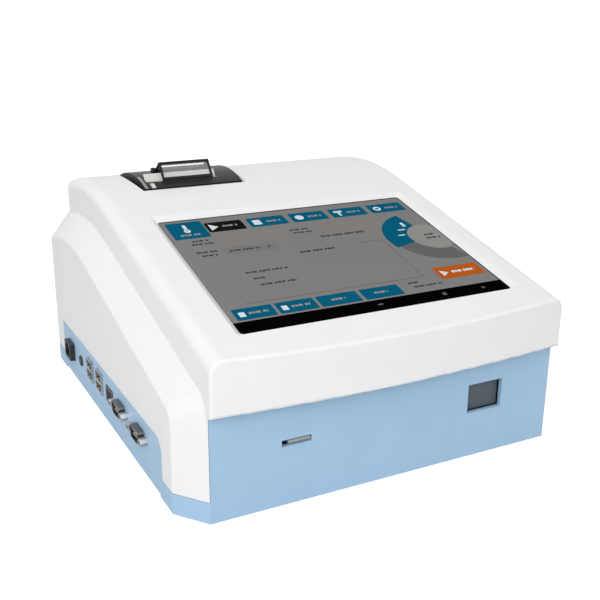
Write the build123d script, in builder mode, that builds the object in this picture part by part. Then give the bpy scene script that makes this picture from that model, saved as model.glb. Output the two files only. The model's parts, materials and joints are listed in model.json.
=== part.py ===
from build123d import *
from math import acos, atan2, ceil, cos, hypot, pi, radians, sin, sqrt, tan
import os

# Desk-top rapid test reader: cover, base, screen, cassette drawer, chip slot, printer and sockets.
# Millimetres. X to the right, Y to the back, Z up. Everything is drawn about the middle of the case
# at table height; the last section moves it so that the origin is the middle of the whole
# footprint, lip and sockets included.

os.makedirs("parts", exist_ok=True)

# ---------------------------------------------------------------------------------------------
# Driving dimensions
# ---------------------------------------------------------------------------------------------
# Case
case_width = 280.0
case_depth = 294.0  # blue front panel to back wall
wall = 3.0
table_gap = 0.8  # lower edge of the base above the table
foot_height = 2.8  # underside of the floor above the table
floor_thickness = 2.5
plinth_height = 14.4
seam_gap = 0.4  # line between cover and base
fit_gap = 0.3  # between a moving or inserted piece and its opening

# Side view of the cover
slope_angle = 13.8
lip_low = 69.7  # underside of the lip
lip_height = 35.0
lip_overhang = 6.6  # lip in front of the blue panel, at its ends
lip_bow = 7.0  # how far the middle of the lip stands out in plan
hump_radius = 200.0
hump_crest_back = 57.0  # crest of the hump in front of the back wall

# Shoulders that step the upper body in from the sides
shoulder_in = 15.5
shoulder_front = 20.4
shoulder_drop = 19.5
upper_side = 25.7  # side wall of the upper body above the shoulder
upper_out = 1.0  # upper body side outside the crease
side_corner_radius = 8.0
crease_corner_radius = 12.0
top_edge_radius = 9.0
rim_radius = 2.2
side_edge_radius = 3.0

# Display, measured on the slope from the lip edge
screen_side = 41.7  # side of the case to the visible screen, in the middle of both sides
screen_width = case_width - 2 * screen_side
screen_height = 144.5
screen_centre_x = 2.4
screen_centre_s = 96.2
screen_flare = 4.6
screen_corner_radius = 2.5
gasket_width = 5.0
gasket_thickness = 0.6
glass_margin = 6.5
glass_thickness = 1.8
lcd_margin = 9.5
lcd_thickness = 5.6
bracket_thickness = 1.0
bracket_reach = 14.0  # screw line outside the visible screen, left and right
display_boss_radius = 3.2
display_screw_radius = 1.2

# Printer
printer_left = -88.0
printer_right = -11.0
printer_inset = 89.6  # front of the printer in front of the back wall
printer_front = case_depth / 2 - printer_inset
printer_depth = 62.6
printer_bottom = 114.0
printer_rise = 5.6  # crown of its top above the line through its front and back edges
printer_edge_z = 156.4
printer_gap = 0.5
printer_flare = 5.0
paper_width = 56.6
paper_radius = 18.5
core_radius = 6.5
core_wall = 1.2
rail_width = 4.0
band_depth = 9.2  # black band in front of the paper slot
slot_depth = 10.4
door_thickness = 2.4
door_pin_radius = 1.5
hood_width = 40.0
hood_rise = 11.6
hood_depth = 18.4
hood_bar = 1.6
hood_foot_bar = 1.2  # bar along the front of the hood
pane_thickness = 0.8

# Printer drive
gear_module = 0.8
platen_teeth = 20
idler_teeth = 24
pinion_teeth = 10
platen_radius = 6.0
platen_shaft_radius = 1.5
gear_width = 4.0
backlash = 0.12  # taken off each tooth, as a share of the module
running_gap = 0.05

# Cassette drawer
window_left = 57.0
window_width = 27.4
window_low = 32.3
window_height = 20.1
drawer_recess = 4.3  # drawer front behind the panel face
drawer_front_thickness = 4.0
drawer_length = 115.0
drawer_width = 25.4
drawer_floor_z = 36.4
drawer_side_height = 10.0
drawer_wall = 2.2
drawer_travel = 74.0
cassette_length = 71.0
ear_length = 12.0
ear_width = 9.6
rod_radius = 2.0
rod_height = 41.4
rod_spread = 19.4  # each rod from the middle of the drawer
bush_radius = 3.0
rack_module = 1.0
rack_width = 7.0
drive_teeth = 14

# Lot chip
chip_slot_left = -78.5
chip_slot_width = 20.0
chip_slot_low = 39.6
chip_slot_height = 4.2
chip_width = 15.0
chip_thickness = 2.0
chip_length = 30.0
chip_recess = 1.0
chip_insert = 22.0  # length of chip held in its socket

# Sockets along the left side: distance of each from the middle of the case
lan_inset = 45.5  # middle of the network socket in front of the back wall
lan_y = case_depth / 2 - lan_inset
power_inset = 73.0
power_y = case_depth / 2 - power_inset
usb_y = (46.4, 22.0)
service_y = -2.6
serial_y = (-30.0, -70.0)
panel_back_inset = 20.0
panel_front_inset = 37.0
panel_back = case_depth / 2 - panel_back_inset
panel_front = panel_front_inset - case_depth / 2
panel_top = 41.0
panel_corner = 9.0
panel_thickness = 2.0
board_top = 17.5
board_thickness = 1.6

# Fasteners and supports
screw_radius = 1.5
screw_head_radius = 2.9
screw_head_height = 2.0
screw_hole_gap = 0.1
post_corners = 8  # screws, posts and their holes are drawn with flats
bearing_corners = 12  # guide rods, bushes and the holes that pins turn in
roll_corners = 40
roller_corners = 24
cover_post_side = 9.5  # middle of a cover post to the side wall
cover_post_x = case_width / 2 - cover_post_side
cover_post_front_inset = 41.0
cover_post_back_inset = 19.0
cover_post_front = cover_post_front_inset - case_depth / 2
cover_post_back = case_depth / 2 - cover_post_back_inset
cover_post_radius = 4.5
cover_post_seat = 14.0
cover_screw_reach = 12.0
foot_side = 22.0
foot_x = case_width / 2 - foot_side
foot_front_inset = 21.0
foot_back_inset = 13.0
foot_front = foot_front_inset - case_depth / 2
foot_back = case_depth / 2 - foot_back_inset
foot_radius = 8.0
foot_corners = 20
small_post_radius = 3.5
gusset_depth = 12.0
gusset_top = 60.0
arch_margin = 22.0  # solid length of the skirt at each corner

# Main board
board_width = 104.0
board_front_inset = 53.0
board_back_inset = 29.0
board_front = board_front_inset - case_depth / 2
board_back = case_depth / 2 - board_back_inset
board_margin = 4.6
board_side = 8.0
edge_gap = 1.6  # board edge to the inside of the socket panel
sink_size = 30.0
sink_fins = 7
sink_height = 14.0
cell_radius = 10.0
cell_corners = 24
cell_height = 3.2

# Sockets
lan_width = 16.0
lan_height = 13.5
lan_reach = 4.0  # in front of the panel
lan_mouth_width = 11.8
lan_mouth_height = 8.2
latch_width = 6.0
latch_height = 2.2
socket_depth = 12.0
jack_radius = 4.1
jack_bore = 2.8
jack_corners = 20
jack_reach = 0.8
jack_depth = 10.0
jack_length = 15.0
jack_height = 7.0
usb_reach = 1.2
usb_length = 17.2
usb_width = 14.4
usb_low = 19.5
usb_high = 35.3
usb_mouth_width = 12.6
usb_mouth_height = 5.6
usb_row = 3.8  # middle of each mouth from the middle of the stack
tongue_thickness = 1.9
service_width = 15.0
service_low = 20.3
service_high = 32.0
service_reach = 0.8
service_length = 14.0
service_depth = 9.0
service_wall = 1.4
serial_z = 28.2
flange_width = 30.8
flange_height = 12.5
flange_thickness = 0.8
shell_width = 16.9
shell_height = 8.4
shell_wall = 0.5
shell_reach = 4.5
shell_corner = 1.2
serial_body_depth = 10.0
pin_radius = 0.5
pin_reach = 5.4
pin_pitch = 2.74
jack_screw_spread = 12.5
jack_screw_radius = 1.3
jack_screw_depth = 8.0
hex_radius = 2.7
hex_reach = 5.0

# Printer seat and drive
printer_ear = 9.0
printer_ear_z = 146.0
printer_ear_thickness = 2.4
printer_screw_inset = 12.0
platen_inset = 11.6  # behind the front of the printer
platen_y = printer_front + platen_inset
platen_z = 146.0
motor_inset = 9.6
motor_y = printer_front + motor_inset
motor_z = 126.0
motor_corners = 24
printer_motor_radius = 6.5
printer_motor_length = 23.0
gear_bay_wall = 2.0
frame_wall = 2.4
gear_offset = 2.8  # gears from the wall of the gear bay
paper_thickness = 0.2
paper_exit = 40.0  # angle at which the paper leaves the platen, above the horizontal
paper_rise = 18.0
door_overlap = 4.0  # door's back edge in front of the printer's back
hinge_inset = 6.2
hinge_depth = 1.6
knuckle_radius = 2.4
lug_width = 3.0
hood_left = -72.0
hood_foot = 2.0  # front feet in front of the slot
hood_pivot_radius = 1.2
hood_knuckle = 2.1
hood_lug_radius = 2.4
hood_pivot_rise = 2.6

# Reader behind the drawer
chassis_gap = 17.0  # chassis behind the front of the case
chassis_length = 118.0
chassis_low = 12.0
chassis_sheet = 2.0
chassis_top = 66.0
chassis_side = 7.0  # outside each rod
cheek_margin = 1.0
ear_inset = 6.0
bush_bore_gap = 0.06
drive_from_cheek = 18.0
drive_shaft_radius = 1.5
motor_radius = 13.0
motor_length = 20.0
rack_back = 1.4
head_low = 49.6
head_width = 37.0
head_length = 36.0
head_from_front = 49.0
lens_radius = 5.0
lens_gap = 0.1
lens_height = 1.6
bridge_thickness = 2.0

# Lot chip seat
chip_board_z = 36.0
chip_socket_top = 47.5
chip_socket_inset = 29.0  # back of the socket behind the front panel
chip_post_inset = 31.0
chip_post_depth = 8.0
chip_board_thickness = 1.6
chip_post_radius = 3.0

# Power switch and speaker
switch_inset = 52.0  # middle of the switch to the side of the case
switch_x = case_width / 2 - switch_inset
switch_z = 46.0
switch_width = 19.0
switch_height = 13.0
switch_depth = 14.0
bezel_lip = 1.2
bezel_thickness = 1.4
rocker_pin = 1.2
speaker_side = 56.0
speaker_inset = 85.0
speaker_x = case_width / 2 - speaker_side
speaker_y = case_depth / 2 - speaker_inset
speaker_corners = 24
speaker_radius = 18.0
speaker_height = 8.0
slot_width = 3.0
slot_length = 36.0
slot_pitch = 7.0

# ---------------------------------------------------------------------------------------------
# Levels and helpers shared by the pieces
# ---------------------------------------------------------------------------------------------
half_width = case_width / 2
front_y = -case_depth / 2
back_y = case_depth / 2
lip_y = front_y - lip_overhang
lip_top = lip_low + lip_height
slope = radians(slope_angle)
crest_y = back_y - hump_crest_back
face_half = half_width - shoulder_in  # half of the blue front panel
upper_half = face_half + upper_out
side_front_y = front_y + shoulder_front
floor_top = foot_height + floor_thickness

hump_start_y = crest_y - hump_radius * sin(slope)
crest_z = lip_top + (hump_start_y - lip_y) * tan(slope) + hump_radius * (1 - cos(slope))

crease_drop = upper_side
side_drop = upper_side + shoulder_drop

slope_plane = Plane(
    origin=(0, lip_y, lip_top),
    x_dir=(1, 0, 0),
    z_dir=(0, -sin(slope), cos(slope)),
)


def span(low, high):
    """Middle and length of a stretch."""
    return (low + high) / 2, high - low


def block(x, y, z, mode=Mode.ADD):
    """A plain block between (low, high) limits along each axis."""
    (mid_x, len_x), (mid_y, len_y), (mid_z, len_z) = span(*x), span(*y), span(*z)
    with Locations((mid_x, mid_y, mid_z)):
        Box(len_x, len_y, len_z, mode=mode)


def post(x, y, z, radius, mode=Mode.ADD, corners=post_corners):
    """An upright post or hole between two heights; `radius` runs to the middle of its flats."""
    with BuildSketch(Plane.XY.offset(z[0])) as outline:
        with Locations((x, y)):
            RegularPolygon(radius, corners, major_radius=False)
    add(extrude(outline.sketch, amount=z[1] - z[0], mode=Mode.PRIVATE), mode=mode)


def bar_x(x, y, z, radius, mode=Mode.ADD, corners=post_corners):
    """A many-sided bar or hole along X between two limits."""
    with BuildSketch(Plane.YZ.offset(x[0])) as outline:
        with Locations((y, z)):
            RegularPolygon(radius, corners, major_radius=False)
    add(extrude(outline.sketch, amount=x[1] - x[0], mode=Mode.PRIVATE), mode=mode)


def bar_y(x, y, z, radius, mode=Mode.ADD, corners=bearing_corners):
    """A many-sided bar or hole along Y between two limits."""
    with BuildSketch(Plane.XZ.offset(-y[1])) as outline:
        with Locations((x, z)):
            RegularPolygon(radius, corners, major_radius=False)
    add(extrude(outline.sketch, amount=y[1] - y[0], mode=Mode.PRIVATE), mode=mode)


def rod_x(x, y, z, radius, mode=Mode.ADD):
    """A round rod along X between two limits."""
    with Locations(Location(((x[0] + x[1]) / 2, y, z), (0, 90, 0))):
        Cylinder(radius, x[1] - x[0], mode=mode)


# ---------------------------------------------------------------------------------------------
# Form of the case
# ---------------------------------------------------------------------------------------------
def side_outline(x, front, drop, bottom, corner=0.0, inset=0.0):
    """Side view of the case on the plane X = x: a front, the slope, the hump and the back.

    The whole line lies `drop` under the top of the upper body, and `inset` inside the skin.
    """
    arc_radius = hump_radius - inset
    centre_z = crest_z - drop - hump_radius
    back = back_y - inset
    front = front + inset
    tangent = (crest_y - arc_radius * sin(slope), centre_z + arc_radius * cos(slope))
    corner_z = tangent[1] - (tangent[0] - front) * tan(slope)
    back_z = centre_z + sqrt(arc_radius**2 - (back - crest_y) ** 2)
    with BuildSketch(Plane.YZ.offset(x)) as outline:
        with BuildLine():
            Line((front, bottom), (front, corner_z))
            Line((front, corner_z), tangent)
            ThreePointArc(tangent, (crest_y, centre_z + arc_radius), (back, back_z))
            Line((back, back_z), (back, bottom))
            Line((back, bottom), (front, bottom))
        make_face()
        if corner:
            brow = min(outline.vertices(), key=lambda v: hypot(v.X - front, v.Y - corner_z))
            fillet(brow, corner)
    return outline.sketch


def upper_form(inset=0.0):
    """The upper body with its bowed lip."""
    half = upper_half - inset
    side_view = side_outline(0, lip_y - lip_bow, 0, lip_low + inset, inset=inset)
    with BuildSketch(Plane.XY.offset(lip_low)) as plan:
        with BuildLine():
            ThreePointArc(
                (-half, lip_y + inset), (0, lip_y - lip_bow + inset), (half, lip_y + inset)
            )
            Polyline((half, lip_y + inset), (half, back_y), (-half, back_y), (-half, lip_y + inset))
        make_face()
    with BuildPart() as form:
        extrude(side_view, amount=half, both=True)
        extrude(plan.sketch, amount=case_depth, mode=Mode.INTERSECT)
        if not inset:
            sides = form.faces().filter_by(Axis.X)
            long_edges = sides.edges().filter_by(lambda e: e.center().Z > lip_top)
            fillet(long_edges, top_edge_radius)
            lip_face = form.faces().sort_by(Axis.Y)[0]
            fillet(lip_face.edges(), rim_radius)
    return form.part


def shoulder_form(bottom, inset=0.0):
    """The left shoulder and side wall: a ruled skin from the side wall's top line to the crease."""
    outer = side_outline(
        -(half_width - inset), side_front_y, side_drop, bottom, side_corner_radius, inset
    )
    inner = side_outline(
        -(face_half - inset / 2), front_y, crease_drop, bottom, crease_corner_radius, inset
    )
    with BuildPart() as form:
        loft([outer, inner], ruled=True)
        if not inset:
            side = form.faces().sort_by(Axis.X)[0]
            top_line = side.edges().filter_by(lambda e: e.center().Z > bottom + 1)
            rim = [e for e in top_line if e.center().Y < back_y - 1]
            fillet(rim, side_edge_radius)
    return form.part


def case_form(bottom, inset=0.0):
    """The closed form of the whole case above `bottom`, drawn in by `inset`."""
    middle = side_outline(0, front_y, crease_drop, bottom, crease_corner_radius, inset)
    left = shoulder_form(bottom, inset)
    with BuildPart() as form:
        extrude(middle, amount=face_half - inset / 2, both=True)
        add(left)
        add(left.mirror(Plane.YZ))
        add(upper_form(inset))
    return form.part


def plan_outline(z, inset=0.0):
    """Plan of the base: a rectangle with its two front corners cut back."""
    with BuildSketch(Plane.XY.offset(z)) as outline:
        with BuildLine():
            Polyline(
                (-half_width, back_y),
                (-half_width, side_front_y),
                (-face_half, front_y),
                (face_half, front_y),
                (half_width, side_front_y),
                (half_width, back_y),
                close=True,
            )
        make_face()
        if inset:
            offset(amount=-inset, kind=Kind.INTERSECTION, mode=Mode.REPLACE)
    return outline.sketch


def screen_frame(depth, margin, corner=0.0):
    """Rectangle round the visible screen, `depth` under the slope and `margin` larger each way."""
    with BuildSketch(slope_plane.offset(-depth)) as outline:
        with Locations((screen_centre_x, screen_centre_s)):
            Rectangle(screen_width + 2 * margin, screen_height + 2 * margin)
        if corner:
            fillet(outline.vertices(), corner)
    return outline.sketch


def case_prism(x, outline_depth, points, corner=None, radius=0.0):
    """A prism along X with the given (y, z) outline; one corner may be rounded."""
    with BuildSketch(Plane.YZ.offset(x)) as outline:
        with BuildLine():
            Polyline(*points, close=True)
        make_face()
        if corner is not None:
            fillet(
                min(outline.vertices(), key=lambda v: hypot(v.X - corner[0], v.Y - corner[1])),
                radius,
            )
    return extrude(outline.sketch, amount=outline_depth, mode=Mode.PRIVATE)


# ---------------------------------------------------------------------------------------------
# Places shared by several pieces
# ---------------------------------------------------------------------------------------------
sides = (-1, 1)
printer_back = printer_front + printer_depth
slot_front = printer_front + band_depth
slot_back = slot_front + slot_depth
bucket_left = printer_left + rail_width
bucket_right = bucket_left + paper_width + 2 * fit_gap
bucket_radius = paper_radius + 0.8
roll_y = slot_back + 1.3 + paper_radius
roll_z = printer_bottom + 3.6 + paper_radius
crown_mid_y = (printer_front + printer_back) / 2
crown_radius = ((printer_depth / 2) ** 2 + printer_rise**2) / (2 * printer_rise)
crown_centre_z = printer_edge_z + printer_rise - crown_radius


def crown_z(y, depth=0.0):
    """Height of the printer's curved top at y, or of a line `depth` inside it."""
    return crown_centre_z + sqrt((crown_radius - depth) ** 2 - (y - crown_mid_y) ** 2)


def crown_piece(x, y, low, depth=0.0):
    """A block over x and y whose top follows the printer's crown, `depth` inside it."""
    front, back = y
    middle = (front + back) / 2
    with BuildSketch(Plane.YZ.offset(x[0])) as outline:
        with BuildLine():
            ThreePointArc(
                (front, crown_z(front, depth)),
                (middle, crown_z(middle, depth)),
                (back, crown_z(back, depth)),
            )
            Polyline(
                (back, crown_z(back, depth)), (back, low), (front, low), (front, crown_z(front, depth))
            )
        make_face()
    return extrude(outline.sketch, amount=x[1] - x[0], mode=Mode.PRIVATE)


cover_posts_at = [(s * cover_post_x, y) for y in (cover_post_front, cover_post_back) for s in sides]
feet_at = [(s * foot_x, y) for y in (foot_front, foot_back) for s in sides]

board_left = -half_width + panel_thickness + edge_gap
board_right = board_left + board_width
board_low = board_top - board_thickness
board_ends = (board_front + board_margin, board_back - board_margin)
board_screws_at = [
    (x, y)
    for x, middle in (
        (board_left + board_side, (usb_y[0] + power_y) / 2),
        (board_right - board_side, (board_front + board_back) / 2),
    )
    for y in (board_ends[0], middle, board_ends[1])
]

printer_screws_at = [
    (x, y)
    for x in (printer_left - printer_ear / 2, printer_right + printer_ear / 2)
    for y in (printer_front + printer_screw_inset, printer_back - printer_screw_inset)
]

drawer_x = window_left + window_width / 2
drawer_face_y = front_y + drawer_recess
drawer_tub_y = drawer_face_y + drawer_front_thickness
drawer_back_y = drawer_face_y + drawer_length
ear_back = drawer_back_y - ear_inset
chassis_left = drawer_x - rod_spread - chassis_side
chassis_right = drawer_x + rod_spread + chassis_side
chassis_front = front_y + chassis_gap
chassis_back = chassis_front + chassis_length
chassis_posts_at = [
    (x, y)
    for x in (chassis_left + chassis_side, chassis_right - chassis_side)
    for y in (chassis_front + 2 * chassis_side, chassis_back - 2 * chassis_side)
]
rack_pitch_z = drawer_floor_z - rack_back - 1.25 * rack_module
drive_pitch_radius = rack_module * drive_teeth / 2
drive_z = rack_pitch_z - drive_pitch_radius
drive_y = chassis_front + drive_from_cheek
head_front = chassis_front + head_from_front

lcd_depth = wall + gasket_thickness + glass_thickness
bracket_depth = lcd_depth + lcd_thickness
display_bosses_at = [
    (screen_centre_x + sx * (screen_width / 2 + bracket_reach), screen_centre_s + sy * screen_height / 3)
    for sx in sides
    for sy in sides
]
chip_right = chip_slot_left + chip_slot_width - 0.4
chip_left = chip_right - chip_width
chip_low = chip_slot_low + 1.1
chip_high = chip_low + chip_thickness
chip_post_y = front_y + chip_post_inset
chip_posts_at = [
    (x, chip_post_y) for x in (chip_slot_left - 1.5, chip_slot_left + chip_slot_width + 1.5)
]


def gear_outline(teeth, module, phase, x, centre):
    """Outline of a spur gear on the plane X = x; one tooth points along `phase` radians."""
    pitch = module * teeth / 2
    half = (pi / 2 - backlash) / teeth
    tip, root = pitch + 0.9 * module, pitch - 1.2 * module
    flank = [
        (root, -half - 0.873 / teeth),
        (tip, -half + 0.655 / teeth),
        (tip, half - 0.655 / teeth),
        (root, half + 0.873 / teeth),
    ]
    corners = []
    for tooth in range(teeth):
        middle = phase + 2 * pi * tooth / teeth
        corners += [
            (centre[0] + r * cos(middle + turn), centre[1] + r * sin(middle + turn))
            for r, turn in flank
        ]
    with BuildSketch(Plane.YZ.offset(x)) as outline:
        with BuildLine():
            Polyline(*corners, close=True)
        make_face()
    return outline.sketch


def meshed_phase(teeth, phase, direction, partner_teeth):
    """Phase of the partner gear that lies along `direction` from a gear with the given phase."""
    step = 2 * pi / teeth
    lead = (phase - direction) - round((phase - direction) / step) * step
    return direction + pi - lead * teeth / partner_teeth + pi / partner_teeth


# ---------------------------------------------------------------------------------------------
# Case mouldings
# ---------------------------------------------------------------------------------------------
panel_outline = [
    (panel_front, plinth_height - 1),
    (panel_front, panel_top),
    (panel_back, panel_top),
    (panel_back, plinth_height - 1),
]
panel_hole = case_prism(
    -half_width - 1, wall + 3, panel_outline, corner=panel_outline[1], radius=panel_corner
)

with BuildPart() as cover_bosses:
    for x, y in cover_posts_at:
        post(x, y, (cover_post_seat, crest_z), cover_post_radius)
    for x, y in printer_screws_at:
        post(x, y, (printer_ear_z, crest_z), small_post_radius)
    add(case_form(0, wall / 2), mode=Mode.INTERSECT)

with BuildPart() as screen_opening:
    visible = screen_frame(wall + 0.2, 0, screen_corner_radius)
    loft([visible, screen_frame(-0.2, screen_flare, screen_corner_radius)], ruled=True)
    extrude(screen_frame(wall + 1, 0, screen_corner_radius), amount=2)

with BuildPart() as printer_opening:
    bay_x = (printer_left + printer_right) / 2
    bay_width = printer_right - printer_left + 2 * printer_gap
    bay_length = printer_depth + 2 * printer_gap
    with BuildSketch(Plane.XY.offset(crown_z(printer_front) - wall)) as bay_low:
        with Locations((bay_x, crown_mid_y)):
            Rectangle(bay_width, bay_length)
    with BuildSketch(Plane.XY.offset(crest_z + 1.4)):
        with Locations((bay_x, crown_mid_y)):
            Rectangle(bay_width + 2 * printer_flare, bay_length + 2 * printer_flare)
    loft(ruled=True)
    extrude(bay_low.sketch, amount=-20.0)

with BuildPart() as top_cover:
    add(case_form(plinth_height + seam_gap))
    add(case_form(table_gap, wall), mode=Mode.SUBTRACT)
    # The front is left open under the lip for the panel of the base
    block((-face_half, face_half), (front_y - 1, front_y + wall + 1), (0, lip_low), Mode.SUBTRACT)
    add(panel_hole, mode=Mode.SUBTRACT)
    add(screen_opening.part, mode=Mode.SUBTRACT)
    add(cover_bosses.part)
    add(printer_opening.part, mode=Mode.SUBTRACT)
    for x, y in cover_posts_at:
        hole = (cover_post_seat, cover_post_seat + cover_screw_reach + 2)
        post(x, y, hole, screw_radius + screw_hole_gap, Mode.SUBTRACT)
    for x, y in printer_screws_at:
        hole = (printer_ear_z, printer_ear_z + screw_head_height + wall)
        post(x, y, hole, screw_radius + screw_hole_gap, Mode.SUBTRACT)
    # Bosses for the display bracket, under the slope
    with BuildSketch(slope_plane.offset(-bracket_depth)):
        with Locations(*display_bosses_at):
            RegularPolygon(display_boss_radius, post_corners, major_radius=False)
            RegularPolygon(
                display_screw_radius, post_corners, major_radius=False, mode=Mode.SUBTRACT
            )
    extrude(amount=bracket_depth - wall + 0.4)
    # Power switch opening and air slots in the back wall
    block(
        (switch_x - switch_width / 2, switch_x + switch_width / 2),
        (back_y - wall - 1, back_y + 1),
        (switch_z - switch_height / 2, switch_z + switch_height / 2),
        Mode.SUBTRACT,
    )
    with BuildSketch(Plane.XZ.offset(-(back_y + 1))):
        with Locations((-board_width / 2, 2 * slot_length - cover_post_radius)):
            with GridLocations(slot_pitch, 1, 12, 1):
                Rectangle(slot_width, slot_length)
    extrude(amount=wall + 2, mode=Mode.SUBTRACT)


def socket_cut(y, width, low, high):
    """Cut an opening for a socket through the socket panel."""
    block(
        (-half_width - 1, -half_width + panel_thickness + 2),
        (y - width / 2 - fit_gap, y + width / 2 + fit_gap),
        (low - fit_gap, high + fit_gap),
        Mode.SUBTRACT,
    )


def d_outline(x, y, grow=0.0):
    """The D shape of a serial socket's shell on the plane X = x."""
    half, low, high = shell_width / 2 + grow, shell_height / 2 + grow, shell_height / 2 + grow
    slant = 0.18 * shell_height
    with BuildSketch(Plane.YZ.offset(x)) as outline:
        with BuildLine():
            Polyline(
                (y - half + slant, serial_z - low),
                (y + half - slant, serial_z - low),
                (y + half, serial_z + high),
                (y - half, serial_z + high),
                close=True,
            )
        make_face()
        chamfer(outline.vertices(), shell_corner)
    return outline.sketch


with BuildPart() as base_tray:
    extrude(plan_outline(table_gap), amount=plinth_height - table_gap)
    extrude(plan_outline(floor_top, wall), amount=plinth_height, mode=Mode.SUBTRACT)
    extrude(plan_outline(table_gap, wall), amount=foot_height - table_gap, mode=Mode.SUBTRACT)
    # The skirt is raised between its corners
    block(
        (-half_width - 1, half_width + 1),
        (side_front_y + arch_margin, back_y - arch_margin),
        (0, foot_height),
        Mode.SUBTRACT,
    )
    block(
        (-half_width + arch_margin, half_width - arch_margin),
        (back_y - wall - 1, back_y + 1),
        (0, foot_height),
        Mode.SUBTRACT,
    )
    # Front panel with its gussets
    block(
        (-face_half + fit_gap, face_half - fit_gap),
        (front_y, front_y + wall),
        (floor_top, lip_low - fit_gap),
    )
    for x in (-face_half + 8, -face_half / 4, face_half / 5, face_half - 12):
        gusset = [
            (front_y + wall, floor_top),
            (front_y + wall, gusset_top),
            (front_y + wall + gusset_depth, floor_top),
        ]
        add(case_prism(x, 2, gusset))
    # Socket panel
    side_panel = [
        (panel_front + fit_gap, plinth_height - 1),
        (panel_front + fit_gap, panel_top - fit_gap),
        (panel_back - fit_gap, panel_top - fit_gap),
        (panel_back - fit_gap, plinth_height - 1),
    ]
    brow_radius = panel_corner - fit_gap
    add(case_prism(-half_width, panel_thickness, side_panel, side_panel[1], brow_radius))
    # Posts
    for x, y in cover_posts_at:
        post(x, y, (foot_height, cover_post_seat), cover_post_radius + fit_gap)
    for x, y in board_screws_at:
        post(x, y, (floor_top, board_low), small_post_radius)
    for x, y in chassis_posts_at:
        post(x, y, (floor_top, chassis_low), small_post_radius)
    for x, y in chip_posts_at:
        post(x, y, (floor_top, chip_board_z - chip_board_thickness), chip_post_radius)
    ring = (floor_top, floor_top + speaker_height / 2)
    post(speaker_x, speaker_y, ring, speaker_radius + floor_thickness, corners=speaker_corners)
    well = speaker_radius + fit_gap
    post(speaker_x, speaker_y, ring, well, Mode.SUBTRACT, speaker_corners)
    # Screw holes
    for x, y in cover_posts_at:
        head_seat = foot_height + screw_head_height + screw_hole_gap
        post(x, y, (foot_height, cover_post_seat), screw_radius + screw_hole_gap, Mode.SUBTRACT)
        post(x, y, (foot_height, head_seat), screw_head_radius + fit_gap, Mode.SUBTRACT)
    for x, y in board_screws_at + chassis_posts_at:
        post(x, y, (floor_top, board_low), screw_radius + screw_hole_gap, Mode.SUBTRACT)
    for x, y in chip_posts_at:
        seat = chip_board_z - chip_board_thickness
        hole = (seat - chip_post_depth, seat)
        post(x, y, hole, display_screw_radius + screw_hole_gap, Mode.SUBTRACT)
    # Drawer window, chip slot and speaker slots
    block(
        (window_left, window_left + window_width),
        (front_y - 1, front_y + wall + 1),
        (window_low, window_low + window_height),
        Mode.SUBTRACT,
    )
    block(
        (chip_slot_left, chip_slot_left + chip_slot_width),
        (front_y - 1, front_y + wall + 1),
        (chip_slot_low, chip_slot_low + chip_slot_height),
        Mode.SUBTRACT,
    )
    with BuildSketch(Plane.XY.offset(floor_top)):
        with Locations((speaker_x, speaker_y), (-board_width / 5, 0)):
            with GridLocations(slot_pitch, 1, 4, 1):
                Rectangle(slot_width, 2 * slot_length / 3)
    extrude(amount=-floor_thickness - 1, mode=Mode.SUBTRACT)
    # Socket openings
    jack_hole = jack_screw_radius + screw_hole_gap
    socket_cut(lan_y, lan_width, board_top, board_top + lan_height)
    for y in usb_y:
        socket_cut(y, usb_width, usb_low, usb_high)
    socket_cut(service_y, service_width, service_low, service_high)
    outside = (-half_width - 1, -half_width + panel_thickness + 2)
    opening = jack_radius + fit_gap
    bar_x(outside, power_y, board_top + jack_height, opening, Mode.SUBTRACT, jack_corners)
    for y in serial_y:
        extrude(d_outline(outside[0], y, fit_gap), amount=wall + 3, mode=Mode.SUBTRACT)
        for s in sides:
            bar_x(outside, y + s * jack_screw_spread, serial_z, jack_hole, Mode.SUBTRACT)

with BuildPart() as rubber_feet:
    for x, y in feet_at:
        post(x, y, (0, foot_height), foot_radius, corners=foot_corners)

with BuildPart() as case_screws:
    for x, y in cover_posts_at:
        seat = foot_height + screw_head_height + screw_hole_gap
        post(x, y, (seat - screw_head_height, seat), screw_head_radius)
        post(x, y, (seat, cover_post_seat + cover_screw_reach), screw_radius)

# ---------------------------------------------------------------------------------------------
# Display
# ---------------------------------------------------------------------------------------------
with BuildPart() as screen_gasket:
    extrude(screen_frame(wall, gasket_width), amount=-gasket_thickness)
    extrude(screen_frame(wall, fit_gap), amount=-gasket_thickness, mode=Mode.SUBTRACT)

with BuildPart() as touch_glass:
    extrude(screen_frame(wall + gasket_thickness, glass_margin), amount=-glass_thickness)

with BuildPart() as lcd_module:
    extrude(screen_frame(lcd_depth, lcd_margin), amount=-lcd_thickness)

with BuildPart() as lcd_bracket:
    with BuildSketch(slope_plane.offset(-bracket_depth)):
        with Locations((screen_centre_x, screen_centre_s)):
            Rectangle(
                screen_width + 2 * bracket_reach + 3 * display_boss_radius,
                screen_height + 2 * lcd_margin,
            )
            Rectangle(
                screen_width - 2 * bracket_reach,
                screen_height - 2 * bracket_reach,
                mode=Mode.SUBTRACT,
            )
        with Locations(*display_bosses_at):
            RegularPolygon(
                display_screw_radius + screw_hole_gap,
                post_corners,
                major_radius=False,
                mode=Mode.SUBTRACT,
            )
    extrude(amount=-bracket_thickness)

with BuildPart() as bracket_screws:
    with BuildSketch(slope_plane.offset(-bracket_depth - bracket_thickness)):
        with Locations(*display_bosses_at):
            RegularPolygon(2 * display_screw_radius, post_corners, major_radius=False)
    extrude(amount=-bracket_thickness - 0.6)
    with BuildSketch(slope_plane.offset(-bracket_depth - bracket_thickness)):
        with Locations(*display_bosses_at):
            shank = display_screw_radius - screw_hole_gap
            RegularPolygon(shank, post_corners, major_radius=False)
    extrude(amount=lcd_thickness + bracket_thickness)

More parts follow.
